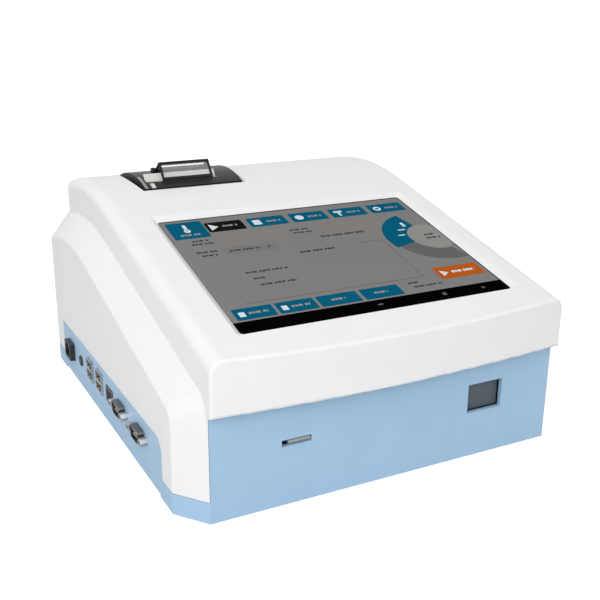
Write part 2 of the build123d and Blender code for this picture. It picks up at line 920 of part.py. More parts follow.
# ---------------------------------------------------------------------------------------------
# Main board and its sockets
# ---------------------------------------------------------------------------------------------
with BuildPart() as main_board:
    block((board_left, board_right), (board_front, board_back), (board_low, board_top))
    for x, y in board_screws_at:
        post(x, y, (board_low, board_top), screw_radius + screw_hole_gap, Mode.SUBTRACT)

with BuildPart() as board_screws:
    for x, y in board_screws_at:
        post(x, y, (board_top, board_top + 1.6), screw_head_radius - 0.6)
        post(x, y, (floor_top + 1, board_top), screw_radius)

with BuildPart() as heat_sink:
    sink_x = (board_right + board_left) / 2
    sink_y = usb_y[1]
    fin_pitch = (sink_size - 2) / (sink_fins - 1)
    block(
        (sink_x - sink_size / 2, sink_x + sink_size / 2),
        (sink_y - sink_size / 2, sink_y + sink_size / 2),
        (board_top, board_top + 3),
    )
    for fin in range(sink_fins):
        fin_x = sink_x - sink_size / 2 + fin * fin_pitch
        block(
            (fin_x, fin_x + 2),
            (sink_y - sink_size / 2, sink_y + sink_size / 2),
            (board_top + 3, board_top + sink_height),
        )

with BuildPart() as coin_cell:
    cell = (board_top, board_top + cell_height)
    post(board_right - 3 * board_side, serial_y[1], cell, cell_radius, corners=cell_corners)

with BuildPart() as lan_jack:
    lan_x = (-half_width - lan_reach, -half_width - lan_reach + 22)
    mouth = (lan_x[0] - 1, lan_x[0] + socket_depth)
    lan_mid_z = board_top + lan_height / 2 - 0.4
    mouth_top = lan_mid_z + lan_mouth_height / 2
    block(lan_x, (lan_y - lan_width / 2, lan_y + lan_width / 2), (board_top, board_top + lan_height))
    block(
        mouth,
        (lan_y - lan_mouth_width / 2, lan_y + lan_mouth_width / 2),
        (mouth_top - lan_mouth_height, mouth_top),
        Mode.SUBTRACT,
    )
    block(
        mouth,
        (lan_y - latch_width / 2, lan_y + latch_width / 2),
        (mouth_top, mouth_top + latch_height),
        Mode.SUBTRACT,
    )

with BuildPart() as power_jack:
    jack_z = board_top + jack_height
    jack_face = -half_width - jack_reach
    barrel = (jack_face, -half_width + wall)
    bar_x(barrel, power_y, jack_z, jack_radius, corners=jack_corners)
    block(
        (-half_width + panel_thickness + seam_gap, -half_width + jack_length),
        (power_y - jack_radius, power_y + jack_radius),
        (board_top, jack_z + jack_radius),
    )
    bore = (jack_face - 1, jack_face + jack_depth)
    bar_x(bore, power_y, jack_z, jack_bore, Mode.SUBTRACT, jack_corners)
    bar_x((jack_face + 1, jack_face + jack_depth + 1), power_y, jack_z, jack_bore / 3)


def usb_stack(y):
    """A double USB socket: a metal shell with two mouths."""
    front = -half_width - usb_reach
    back = front + usb_length
    middle = (usb_low + usb_high) / 2
    half = usb_width / 2
    block((front, back), (y - half, y + half), (usb_low, usb_high))
    block((front + wall + 1, back), (y - half + 1, y + half - 1), (board_top, usb_low))
    for s in sides:
        row = middle + s * usb_row
        block(
            (front - 1, front + socket_depth),
            (y - usb_mouth_width / 2, y + usb_mouth_width / 2),
            (row - usb_mouth_height / 2, row + usb_mouth_height / 2),
            Mode.SUBTRACT,
        )


with BuildPart() as usb_stack_rear:
    usb_stack(usb_y[0])

with BuildPart() as usb_stack_front:
    usb_stack(usb_y[1])

with BuildPart() as usb_tongues:
    for y in usb_y:
        for s in sides:
            row = (usb_low + usb_high) / 2 + s * usb_row + 1
            block(
                (-half_width + 1, -half_width - usb_reach + socket_depth),
                (y - usb_mouth_width / 2 + 1, y + usb_mouth_width / 2 - 1),
                (row - tongue_thickness / 2, row + tongue_thickness / 2),
            )

with BuildPart() as service_port:
    port_front = -half_width - service_reach
    port_back = port_front + service_length
    port_half = service_width / 2
    block(
        (port_front, port_back),
        (service_y - port_half, service_y + port_half),
        (service_low, service_high),
    )
    block(
        (port_front + wall + 1, port_back),
        (service_y - port_half + 1, service_y + port_half - 1),
        (board_top, service_low),
    )
    block(
        (port_front - 1, port_front + service_depth),
        (service_y - port_half + service_wall, service_y + port_half - service_wall),
        (service_low + service_wall, service_high - service_wall),
        Mode.SUBTRACT,
    )

serial_seat = -half_width + panel_thickness  # inner face of the socket panel

with BuildPart() as serial_shells:
    for y in serial_y:
        block(
            (serial_seat, serial_seat + flange_thickness),
            (y - flange_width / 2, y + flange_width / 2),
            (serial_z - flange_height / 2, serial_z + flange_height / 2),
        )
        tube = panel_thickness + shell_reach
        extrude(d_outline(serial_seat - tube, y), amount=tube + flange_thickness / 2)
        inside = d_outline(serial_seat - tube, y, -shell_wall)
        extrude(inside, amount=tube + flange_thickness, mode=Mode.SUBTRACT)
        for s in sides:
            through = (serial_seat - 1, serial_seat + panel_thickness)
            bar_x(through, y + s * jack_screw_spread, serial_z, jack_hole, Mode.SUBTRACT)

with BuildPart() as serial_bodies:
    for y in serial_y:
        back = serial_seat + flange_thickness
        block(
            (back, back + serial_body_depth),
            (y - flange_width / 2, y + flange_width / 2),
            (board_top, serial_z + flange_height / 2),
        )
        extrude(d_outline(serial_seat - 1, y, -shell_wall - 0.1), amount=flange_thickness + 2)
        for s in sides:
            hole = (back - 1, back + jack_screw_depth)
            bar_x(hole, y + s * jack_screw_spread, serial_z, jack_hole, Mode.SUBTRACT)

with BuildPart() as serial_pins:
    pin_x = (serial_seat - pin_reach, serial_seat - 1)
    for y in serial_y:
        for row, count in ((1, 5), (-1, 4)):
            for pin in range(count):
                pin_y = y + (pin - (count - 1) / 2) * pin_pitch
                pin_z = serial_z + row * pin_pitch / 2
                block(
                    pin_x,
                    (pin_y - pin_radius, pin_y + pin_radius),
                    (pin_z - pin_radius, pin_z + pin_radius),
                )

with BuildPart() as jack_screws:
    for y in serial_y:
        for s in sides:
            screw_y = y + s * jack_screw_spread
            with BuildSketch(Plane.YZ.offset(-half_width - hex_reach)):
                with Locations((screw_y, serial_z)):
                    RegularPolygon(hex_radius, 6)
            extrude(amount=hex_reach)
            shank = (-half_width - 1, serial_seat + jack_screw_depth)
            bar_x(shank, screw_y, serial_z, jack_screw_radius)

# ---------------------------------------------------------------------------------------------
# Lot chip and its socket
# ---------------------------------------------------------------------------------------------
with BuildPart() as chip_socket:
    socket_front = front_y + wall + 0.2
    chip_socket_back = front_y + chip_socket_inset
    pocket_back = front_y + chip_recess + chip_length + 0.5
    block(
        (chip_slot_left - 2, chip_slot_left + chip_slot_width + 2),
        (socket_front, chip_socket_back),
        (chip_board_z, chip_socket_top),
    )
    block(
        (chip_left - 0.1, chip_right + 0.1),
        (socket_front - 1, chip_socket_back + 1),
        (chip_low - 0.1, chip_high + 0.1),
        Mode.SUBTRACT,
    )
    block(
        (chip_slot_left, chip_left),
        (socket_front - 1, socket_front + chip_insert / 2),
        (chip_slot_low, chip_slot_low + chip_slot_height),
        Mode.SUBTRACT,
    )

with BuildPart() as chip_board:
    block(
        (chip_slot_left - 5, chip_slot_left + chip_slot_width + 5),
        (socket_front + 2, pocket_back + 6),
        (chip_board_z - chip_board_thickness, chip_board_z),
    )
    for x, y in chip_posts_at:
        hole = (chip_board_z - chip_board_thickness, chip_board_z)
        post(x, y, hole, display_screw_radius + screw_hole_gap, Mode.SUBTRACT)

with BuildPart() as lot_chip:
    chip_front = front_y + chip_recess
    block((chip_left, chip_right), (chip_front, chip_front + chip_length), (chip_low, chip_high))

# ---------------------------------------------------------------------------------------------
# Cassette reader and drawer
# ---------------------------------------------------------------------------------------------
with BuildPart() as reader_chassis:
    block(
        (chassis_left, chassis_right),
        (chassis_front, chassis_back),
        (chassis_low, chassis_top),
    )
    block(
        (chassis_left + chassis_sheet, chassis_right - chassis_sheet),
        (chassis_front + chassis_sheet, chassis_back - chassis_sheet),
        (chassis_low + chassis_sheet, chassis_top + 1),
        Mode.SUBTRACT,
    )
    # Way through for the drawer, rod holes and motor opening
    block(
        (window_left - cheek_margin, window_left + window_width + cheek_margin),
        (chassis_front - 1, chassis_front + chassis_sheet + 1),
        (window_low - cheek_margin, chassis_top + 1),
        Mode.SUBTRACT,
    )
    for s in sides:
        through = (chassis_front - 1, chassis_back + 1)
        bar_y(drawer_x + s * rod_spread, through, rod_height, rod_radius, Mode.SUBTRACT)
    cheek = (chassis_left - 1, chassis_left + chassis_sheet + 1)
    bar_x(cheek, drive_y, drive_z, drive_shaft_radius + 1, Mode.SUBTRACT)
    for x, y in chassis_posts_at:
        hole = (chassis_low, chassis_low + chassis_sheet)
        post(x, y, hole, screw_radius + screw_hole_gap, Mode.SUBTRACT)

with BuildPart() as chassis_screws:
    for x, y in chassis_posts_at:
        seat = chassis_low + chassis_sheet
        post(x, y, (seat, seat + screw_head_height), screw_head_radius)
        post(x, y, (floor_top + 1, seat), screw_radius)

with BuildPart() as guide_rods:
    for s in sides:
        ends = (chassis_front - 1, chassis_back + 1)
        bar_y(drawer_x + s * rod_spread, ends, rod_height, rod_radius)

with BuildPart() as drawer_tray:
    half = drawer_width / 2
    block(
        (window_left + fit_gap, window_left + window_width - fit_gap),
        (drawer_face_y, drawer_tub_y),
        (window_low + fit_gap, window_low + window_height - fit_gap),
    )
    block(
        (drawer_x - half, drawer_x + half),
        (drawer_tub_y, drawer_back_y),
        (drawer_floor_z, drawer_floor_z + drawer_side_height),
    )
    # Cassette pocket
    block(
        (drawer_x - half + drawer_wall, drawer_x + half - drawer_wall),
        (drawer_tub_y + drawer_wall, drawer_tub_y + drawer_wall + cassette_length),
        (drawer_floor_z + drawer_wall, drawer_floor_z + drawer_side_height + 1),
        Mode.SUBTRACT,
    )
    # Ears that run on the rods
    for s in sides:
        ear_x = sorted((drawer_x + s * (half - 1), drawer_x + s * (rod_spread + ear_width / 2)))
        block(
            ear_x,
            (ear_back - ear_length, ear_back),
            (rod_height - ear_width / 2, rod_height + ear_width / 2),
        )
        through = (ear_back - ear_length - 1, ear_back + 1)
        bar_y(drawer_x + s * rod_spread, through, rod_height, bush_radius, Mode.SUBTRACT)

with BuildPart() as tray_bushes:
    for s in sides:
        ear = (ear_back - ear_length, ear_back)
        bush_x = drawer_x + s * rod_spread
        bar_y(bush_x, ear, rod_height, bush_radius)
        bar_y(bush_x, ear, rod_height, rod_radius + bush_bore_gap, Mode.SUBTRACT)

with BuildPart() as feed_rack:
    rack_front = drawer_tub_y + 1
    pitch = pi * rack_module
    rack_back_y = drive_y + drawer_travel + 1.5 * pitch  # still in mesh with the drawer open
    half_tooth = pitch / 4 - backlash / 2
    slant = tan(radians(20))
    tip_half = half_tooth - 0.9 * rack_module * slant
    root_half = half_tooth + 1.2 * rack_module * slant
    tip_z = rack_pitch_z - 0.9 * rack_module
    root_z = rack_pitch_z + 1.2 * rack_module
    first = ceil((rack_front + root_half - drive_y) / pitch - 0.5) + 0.5
    last = (rack_back_y - root_half - drive_y) / pitch
    line = [(rack_front, drawer_floor_z), (rack_front, root_z)]
    tooth = first
    while tooth < last:
        middle = drive_y + tooth * pitch
        line += [
            (middle - root_half, root_z),
            (middle - tip_half, tip_z),
            (middle + tip_half, tip_z),
            (middle + root_half, root_z),
        ]
        tooth += 1
    line += [(rack_back_y, root_z), (rack_back_y, drawer_floor_z)]
    add(case_prism(drawer_x - rack_width / 2, rack_width, line))

with BuildPart() as drive_pinion:
    gear_x = drawer_x - rack_width / 2 + 0.5
    extrude(
        gear_outline(drive_teeth, rack_module, pi / 2, gear_x, (drive_y, drive_z)),
        amount=rack_width - 1,
    )
    rod_x((gear_x, gear_x + rack_width - 1), drive_y, drive_z, drive_shaft_radius, Mode.SUBTRACT)

with BuildPart() as motor_shaft:
    shaft = (chassis_left - 8, gear_x + rack_width)
    rod_x(shaft, drive_y, drive_z, drive_shaft_radius)

with BuildPart() as feed_motor:
    can = (chassis_left - motor_length, chassis_left)
    bar_x(can, drive_y, drive_z, motor_radius, corners=motor_corners)
    bore = (chassis_left - 8, chassis_left)
    shaft_seat = drive_shaft_radius + running_gap
    bar_x(bore, drive_y, drive_z, shaft_seat, Mode.SUBTRACT, bearing_corners)

with BuildPart() as position_sensor:
    block(
        (chassis_right - chassis_sheet - 8, chassis_right - chassis_sheet),
        (chassis_back - 3 * ear_length, chassis_back - 2 * ear_length),
        (chassis_low + chassis_sheet, chassis_low + chassis_sheet + 12),
    )

with BuildPart() as head_bridge:
    block(
        (chassis_left, chassis_right),
        (head_front - 2, head_front + head_length + 2),
        (chassis_top, chassis_top + bridge_thickness),
    )

with BuildPart() as optical_head:
    block(
        (drawer_x - head_width / 2, drawer_x + head_width / 2),
        (head_front, head_front + head_length),
        (head_low, chassis_top),
    )
    lens_y = head_front + head_length / 2
    lens_z = (head_low, head_low + lens_height)
    post(drawer_x, lens_y, lens_z, lens_radius, Mode.SUBTRACT, cell_corners)

with BuildPart() as head_lens:
    post(drawer_x, lens_y, lens_z, lens_radius - lens_gap, corners=cell_corners)

# ---------------------------------------------------------------------------------------------
# Printer
# ---------------------------------------------------------------------------------------------
bay = (bucket_left, bucket_right)
gear_bay = (bucket_right + gear_bay_wall, printer_right - gear_bay_wall)
gears_x = gear_bay[0] + gear_offset
platen_gear_radius = gear_module * platen_teeth / 2
idler_radius = gear_module * idler_teeth / 2
pinion_radius = gear_module * pinion_teeth / 2
to_platen = platen_gear_radius + idler_radius
to_motor = idler_radius + pinion_radius
axis_distance = hypot(platen_y - motor_y, platen_z - motor_z)
axis_angle = atan2(platen_z - motor_z, platen_y - motor_y)
spread_angle = acos((to_motor**2 - to_platen**2 + axis_distance**2) / (2 * axis_distance * to_motor))
idler_angle = axis_angle - spread_angle
idler_y = motor_y + to_motor * cos(idler_angle)
idler_z = motor_z + to_motor * sin(idler_angle)
idler_direction = atan2(idler_z - platen_z, idler_y - platen_y)
idler_phase = meshed_phase(platen_teeth, 0, idler_direction, idler_teeth)
pinion_phase = meshed_phase(idler_teeth, idler_phase, idler_angle + pi, pinion_teeth)

door_back = printer_back - door_overlap
hinge_y = printer_back - hinge_inset
hinge_z = crown_z(hinge_y, door_thickness + hinge_depth)
hinge_sweep = hypot(door_back - hinge_y, crown_z(door_back) - hinge_z) + fit_gap
door_x = (bucket_left + fit_gap, bucket_right - fit_gap)
band_low = crown_z(printer_front) - door_thickness
hood_right = hood_left + hood_width
hood_front = slot_front - hood_foot
pivot_y = hood_front + hood_depth
pivot_z = crown_z(pivot_y) + hood_pivot_rise

with BuildPart() as printer_frame:
    add(crown_piece((printer_left, printer_right), (printer_front, printer_back), printer_bottom))
    block(
        (printer_left - printer_ear, printer_right + printer_ear),
        (printer_front, printer_back),
        (printer_ear_z - printer_ear_thickness, printer_ear_z),
    )
    # Paper bucket, open above for the door
    rod_x(bay, roll_y, roll_z, bucket_radius, Mode.SUBTRACT)
    block(bay, (slot_front, door_back + fit_gap), (printer_ear_z + 2, crest_z + 9), Mode.SUBTRACT)
    rod_x(bay, hinge_y, hinge_z, hinge_sweep, Mode.SUBTRACT)
    # Room for the door's top as it swings up behind its hinge
    block(bay, (hinge_y, hinge_y + hinge_sweep), (hinge_z, crest_z + 9), Mode.SUBTRACT)
    # Chamber for the platen and the head, under the band
    chamber = (printer_front + frame_wall, slot_back + 2 * frame_wall)
    block(bay, chamber, (printer_bottom + 3, band_low), Mode.SUBTRACT)
    # Gear bay
    block(
        gear_bay,
        (printer_front + frame_wall, idler_y + idler_radius + 3),
        (printer_bottom + 3, platen_z + platen_gear_radius + 2 * gear_module),
        Mode.SUBTRACT,
    )
    # Bearings of the platen shaft, idler and motor opening, door hinge
    shaft_ends = (printer_left + 1, printer_right - 1)
    shaft_hole = platen_shaft_radius + running_gap
    bar_x(shaft_ends, platen_y, platen_z, shaft_hole, Mode.SUBTRACT, bearing_corners)
    partition = (bucket_right - 1, gear_bay[0] + 1)
    bar_x(partition, motor_y, motor_z, platen_shaft_radius + 1, Mode.SUBTRACT)
    rod_x(gear_bay, idler_y, idler_z, platen_shaft_radius)
    hinge_ends = (bucket_left - rail_width / 2, bucket_right + rail_width / 2)
    hinge_hole = door_pin_radius + running_gap
    bar_x(hinge_ends, hinge_y, hinge_z, hinge_hole, Mode.SUBTRACT, bearing_corners)
    for x, y in printer_screws_at:
        hole = (printer_ear_z - printer_ear_thickness, printer_ear_z)
        post(x, y, hole, screw_radius + screw_hole_gap, Mode.SUBTRACT)

with BuildPart() as printer_screws:
    for x, y in printer_screws_at:
        seat = printer_ear_z - printer_ear_thickness
        post(x, y, (seat - screw_head_height, seat), screw_head_radius)
        post(x, y, (seat, printer_ear_z + screw_head_height + 2), screw_radius)

with BuildPart() as paper_roll:
    roll_x = (bucket_left + fit_gap, bucket_left + fit_gap + paper_width)
    bar_x(roll_x, roll_y, roll_z, paper_radius, corners=roll_corners)
    bar_x(roll_x, roll_y, roll_z, core_radius, Mode.SUBTRACT, roller_corners)

with BuildPart() as roll_core:
    bar_x(roll_x, roll_y, roll_z, core_radius, corners=roller_corners)
    bore_radius = core_radius - core_wall
    bar_x(roll_x, roll_y, roll_z, bore_radius, Mode.SUBTRACT, roller_corners)

with BuildPart() as paper_tail:
    # From the front of the roll, round the platen and up through the slot
    roll_gap = paper_radius + screw_hole_gap
    wrap = platen_radius + screw_hole_gap
    distance = hypot(platen_y - roll_y, platen_z - roll_z)
    toward = atan2(platen_z - roll_z, platen_y - roll_y)
    normal = toward + acos((roll_gap - wrap) / distance)
    leave = pi - radians(paper_exit)
    around = (normal + leave) / 2
    rise = (sin(leave) * paper_rise, -cos(leave) * paper_rise)

    def roll_point(extra):
        """Where the paper, `extra` off its inner side, leaves the roll."""
        reach = roll_gap + extra
        return (roll_y + reach * cos(normal), roll_z + reach * sin(normal))

    def platen_point(angle, extra):
        """A point of the paper's path round the platen."""
        reach = wrap + extra
        return (platen_y + reach * cos(angle), platen_z + reach * sin(angle))

    def paper_end(extra):
        """The free end of the paper, above the slot."""
        y, z = platen_point(leave, extra)
        return (y + rise[0], z + rise[1])

    thick = paper_thickness
    with BuildSketch(Plane.YZ.offset(roll_x[0])):
        with BuildLine():
            Line(roll_point(0), platen_point(normal, 0))
            ThreePointArc(platen_point(normal, 0), platen_point(around, 0), platen_point(leave, 0))
            Line(platen_point(leave, 0), paper_end(0))
            Line(paper_end(0), paper_end(thick))
            Line(paper_end(thick), platen_point(leave, thick))
            ThreePointArc(
                platen_point(leave, thick), platen_point(around, thick), platen_point(normal, thick)
            )
            Line(platen_point(normal, thick), roll_point(thick))
            Line(roll_point(thick), roll_point(0))
        make_face()
    extrude(amount=paper_width)

with BuildPart() as platen_roller:
    roller_x = (bucket_left + 2 * fit_gap, bucket_right - 2 * fit_gap)
    bar_x(roller_x, platen_y, platen_z, platen_radius, corners=roller_corners)
    rod_x(roller_x, platen_y, platen_z, platen_shaft_radius, Mode.SUBTRACT)

with BuildPart() as platen_shaft:
    rod_x((shaft_ends[0] + 0.5, shaft_ends[1] - 0.5), platen_y, platen_z, platen_shaft_radius)

with BuildPart() as platen_gear:
    extrude(
        gear_outline(platen_teeth, gear_module, 0, gears_x, (platen_y, platen_z)),
        amount=gear_width,
    )
    bore = (gears_x, gears_x + gear_width)
    rod_x(bore, platen_y, platen_z, platen_shaft_radius, Mode.SUBTRACT)

with BuildPart() as idler_gear:
    extrude(
        gear_outline(idler_teeth, gear_module, idler_phase, gears_x, (idler_y, idler_z)),
        amount=gear_width,
    )
    bar_x(bore, idler_y, idler_z, shaft_hole, Mode.SUBTRACT, bearing_corners)

with BuildPart() as printer_pinion:
    extrude(
        gear_outline(pinion_teeth, gear_module, pinion_phase, gears_x, (motor_y, motor_z)),
        amount=gear_width,
    )
    rod_x((bucket_right - 6, gears_x + 1), motor_y, motor_z, 1)

with BuildPart() as printer_motor:
    body = (bucket_right - printer_motor_length, bucket_right)
    bar_x(body, motor_y, motor_z, printer_motor_radius, corners=motor_corners)
    bore = (bucket_right - 6, bucket_right)
    bar_x(bore, motor_y, motor_z, 1 + running_gap, Mode.SUBTRACT, bearing_corners)

with BuildPart() as print_head:
    head_face = platen_y - wrap - paper_thickness
    block(
        (bucket_left + 3, bucket_right - 3),
        (chamber[0], head_face),
        (platen_z - 8, platen_z + 6),
    )

with BuildPart() as tear_bar:
    block(
        (bucket_left, bucket_right),
        (slot_front, slot_front + 0.6),
        (band_low + 0.5, crown_z(slot_front) - 0.2),
    )

with BuildPart() as printer_door:
    add(crown_piece(door_x, (slot_back + fit_gap, door_back), printer_ear_z))
    under = (bucket_left - 1, bucket_right + 1)
    hollow = crown_piece(under, (slot_back, printer_back), printer_ear_z - 1, door_thickness)
    add(hollow, mode=Mode.SUBTRACT)
    # Hinge lugs under the back edge, with their pins
    for s, edge in zip(sides, door_x):
        lug = sorted((edge, edge - s * lug_width))
        block(lug, (hinge_y - knuckle_radius, hinge_y + 2), (hinge_z, hinge_z + hinge_depth + 1))
        bar_x(lug, hinge_y, hinge_z, knuckle_radius, corners=bearing_corners)
        rod_x(
            sorted((edge - s, edge + s * (rail_width / 2))), hinge_y, hinge_z, door_pin_radius
        )
    # Lugs that carry the hood
    for s, edge in zip(sides, (hood_left, hood_right)):
        lug = sorted((edge + s * fit_gap, edge + s * (lug_width - 0.5)))
        foot = (pivot_y - hood_lug_radius, pivot_y + hood_lug_radius)
        block(lug, foot, (crown_z(pivot_y) - 1, pivot_z))
        bar_x(lug, pivot_y, pivot_z, hood_lug_radius, corners=bearing_corners)
        pivot_hole = hood_pivot_radius + running_gap
        bar_x(lug, pivot_y, pivot_z, pivot_hole, Mode.SUBTRACT, bearing_corners)


def hood_strip(x, low, high):
    """The bent strip of the hood over x, between two depths under its upper line."""
    ridge_y = hood_front + hood_depth / 2
    foot_z = crown_z(hood_front) + fit_gap + hood_bar
    line = [(hood_front, foot_z), (ridge_y, foot_z + hood_rise), (pivot_y, pivot_z)]
    upper = [(y, z - low) for y, z in line]
    lower = [(y, z - high) for y, z in reversed(line)]
    return case_prism(x[0], x[1] - x[0], upper + lower)


hood_windows = [
    (hood_front + hood_foot_bar, hood_front + hood_depth / 2 - hood_bar / 2),
    (hood_front + hood_depth / 2 + hood_bar / 2, pivot_y - hood_bar),
]
hood_glazed = (hood_left + hood_bar, hood_right - hood_bar)
above_hood = (printer_edge_z, pivot_z + 2 * hood_rise)

with BuildPart() as paper_hood:
    add(hood_strip((hood_left, hood_right), 0, hood_bar))
    ends = (hood_left, hood_right)
    bar_x(ends, pivot_y, pivot_z, hood_knuckle, corners=bearing_corners)
    for y in hood_windows:
        block(hood_glazed, y, above_hood, Mode.SUBTRACT)
    pins = (hood_left - lug_width + 0.5, hood_right + lug_width - 0.5)
    rod_x(pins, pivot_y, pivot_z, hood_pivot_radius)

with BuildPart() as pane_cells:
    for y in hood_windows:
        block(hood_glazed, y, above_hood)

with BuildPart() as hood_panes:
    add(hood_strip(hood_glazed, hood_bar / 2, hood_bar / 2 + pane_thickness))
    add(pane_cells.part, mode=Mode.INTERSECT)

# ---------------------------------------------------------------------------------------------
# Speaker and power switch
# ---------------------------------------------------------------------------------------------
with BuildPart() as speaker:
    frame_z = (floor_top, floor_top + speaker_height)
    magnet = (floor_top + wall, floor_top + 2 * speaker_height)
    post(speaker_x, speaker_y, frame_z, speaker_radius, corners=speaker_corners)
    post(speaker_x, speaker_y, magnet, speaker_radius / 2, corners=speaker_corners)

with BuildPart() as switch_housing:
    half_w, half_h = switch_width / 2 - fit_gap, switch_height / 2 - fit_gap
    block(
        (switch_x - half_w, switch_x + half_w),
        (back_y - switch_depth, back_y),
        (switch_z - half_h, switch_z + half_h),
    )
    block(
        (switch_x - half_w - bezel_lip, switch_x + half_w + bezel_lip),
        (back_y, back_y + bezel_thickness),
        (switch_z - half_h - bezel_lip, switch_z + half_h + bezel_lip),
    )
    block(
        (switch_x - half_w + 1.4, switch_x + half_w - 1.4),
        (back_y - 7, back_y + bezel_thickness),
        (switch_z - half_h + 1, switch_z + half_h - 1),
        Mode.SUBTRACT,
    )
    rod_z = (switch_z - half_h + 0.2, switch_z + half_h - 0.2)
    pin_hole = rocker_pin + running_gap
    post(switch_x, back_y - 1.6, rod_z, pin_hole, Mode.SUBTRACT, bearing_corners)

with BuildPart() as switch_rocker:
    reach = half_w - 1.4 - fit_gap
    high = half_h - 1 - fit_gap
    with BuildSketch(Plane.XY.offset(switch_z - high)):
        with BuildLine():
            Polyline(
                (switch_x - reach + 0.6, back_y - 2.2),
                (switch_x - reach + 0.9, back_y + 2.6),
                (switch_x, back_y + 0.8),
                (switch_x + reach, back_y + 0.2),
                (switch_x + reach - 0.6, back_y - 2.2),
                (switch_x, back_y - 4.4),
                close=True,
            )
        make_face()
    extrude(amount=2 * high)
    with Locations((switch_x, back_y - 1.6, switch_z)):
        Cylinder(rocker_pin, rod_z[1] - rod_z[0] - 2 * screw_hole_gap)

# ---------------------------------------------------------------------------------------------
# Common origin, labels and files
# ---------------------------------------------------------------------------------------------
pieces = {
    "base_tray": base_tray,
    "top_cover": top_cover,
    "rubber_feet": rubber_feet,
    "case_screws": case_screws,
    "screen_gasket": screen_gasket,
    "touch_glass": touch_glass,
    "lcd_module": lcd_module,
    "lcd_bracket": lcd_bracket,
    "bracket_screws": bracket_screws,
    "main_board": main_board,
    "board_screws": board_screws,
    "heat_sink": heat_sink,
    "coin_cell": coin_cell,
    "lan_jack": lan_jack,
    "power_jack": power_jack,
    "usb_stack_rear": usb_stack_rear,
    "usb_stack_front": usb_stack_front,
    "usb_tongues": usb_tongues,
    "service_port": service_port,
    "serial_shells": serial_shells,
    "serial_bodies": serial_bodies,
    "serial_pins": serial_pins,
    "jack_screws": jack_screws,
    "chip_socket": chip_socket,
    "chip_board": chip_board,
    "lot_chip": lot_chip,
    "reader_chassis": reader_chassis,
    "chassis_screws": chassis_screws,
    "guide_rods": guide_rods,
    "drawer_tray": drawer_tray,
    "tray_bushes": tray_bushes,
    "feed_rack": feed_rack,
    "drive_pinion": drive_pinion,
    "motor_shaft": motor_shaft,
    "feed_motor": feed_motor,
    "position_sensor": position_sensor,
    "head_bridge": head_bridge,
    "optical_head": optical_head,
    "head_lens": head_lens,
    "printer_frame": printer_frame,
    "printer_screws": printer_screws,
    "paper_roll": paper_roll,
    "roll_core": roll_core,
    "paper_tail": paper_tail,
    "platen_roller": platen_roller,
    "platen_shaft": platen_shaft,
    "platen_gear": platen_gear,
    "idler_gear": idler_gear,
    "printer_pinion": printer_pinion,
    "printer_motor": printer_motor,
    "print_head": print_head,
    "tear_bar": tear_bar,
    "printer_door": printer_door,
    "paper_hood": paper_hood,
    "hood_panes": hood_panes,
    "speaker": speaker,
    "switch_housing": switch_housing,
    "switch_rocker": switch_rocker,
}
boxes = [piece.part.bounding_box() for piece in pieces.values()]
low = [min(getattr(box.min, axis) for box in boxes) for axis in ("X", "Y", "Z")]
high = [max(getattr(box.max, axis) for box in boxes) for axis in ("X", "Y", "Z")]
to_origin = Location((-(low[0] + high[0]) / 2, -(low[1] + high[1]) / 2, -low[2]))
for name, piece in pieces.items():
    moved = piece.part.moved(to_origin)
    moved.label = name
    export_step(moved, f"parts/{name}.step")
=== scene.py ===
import json
from math import cos, pi, radians, sin

import bmesh
import bpy
from mathutils import Matrix, Vector


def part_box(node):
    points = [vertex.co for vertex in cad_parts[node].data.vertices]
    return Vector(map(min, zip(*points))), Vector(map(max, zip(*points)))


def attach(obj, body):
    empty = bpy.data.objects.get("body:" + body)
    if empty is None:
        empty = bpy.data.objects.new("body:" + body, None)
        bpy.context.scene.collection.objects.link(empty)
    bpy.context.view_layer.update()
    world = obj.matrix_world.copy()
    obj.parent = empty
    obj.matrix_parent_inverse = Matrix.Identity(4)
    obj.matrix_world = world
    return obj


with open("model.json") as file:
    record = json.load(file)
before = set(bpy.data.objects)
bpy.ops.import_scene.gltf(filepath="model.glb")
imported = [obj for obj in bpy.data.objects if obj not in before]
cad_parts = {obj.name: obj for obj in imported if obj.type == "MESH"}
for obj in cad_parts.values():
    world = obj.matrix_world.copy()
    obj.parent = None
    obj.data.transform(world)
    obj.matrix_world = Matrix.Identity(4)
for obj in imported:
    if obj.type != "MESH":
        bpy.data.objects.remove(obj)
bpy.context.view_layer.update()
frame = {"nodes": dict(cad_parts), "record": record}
MM = 0.001

# ------------------------------------------------------------------------------------------
# Places, in millimetres from the middle of the case at table height
# ------------------------------------------------------------------------------------------
base_low, base_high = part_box("base_tray")
ORIGIN = Vector(((base_low[0] + base_high[0]) / 2, (base_low[1] + base_high[1]) / 2, 0.0))
LIP_Y, LIP_TOP = -153.6, 104.7
SLOPE = radians(13.8)
GLASS_N = -3.6  # top of the touch glass, off the slope
SIDES = (-1, 1)


def at(x, y, z):
    """A point of the case in the row frame, in metres."""
    return ORIGIN + Vector((x, y, z)) * MM


def on_slope(x, s, n):
    """A point of the sloping top: x across, s up the slope from the lip, n off its surface."""
    return at(x, LIP_Y + s * cos(SLOPE) - n * sin(SLOPE), LIP_TOP + s * sin(SLOPE) + n * cos(SLOPE))


def linear(red, green, blue):
    """A colour given as it looks on screen, 0 to 255."""
    def channel(value):
        value /= 255.0
        return value / 12.92 if value <= 0.04045 else ((value + 0.055) / 1.055) ** 2.4
    return (channel(red), channel(green), channel(blue), 1.0)


# ------------------------------------------------------------------------------------------
# Materials
# ------------------------------------------------------------------------------------------
COAT_ROUGHNESS = 0.08
RELIEF_DEPTH = 0.0002  # metres
CLOUD_SIZE = 30.0  # the colour's noise is this much coarser than the relief's
CLOUD_RANGE = (0.35, 0.65)


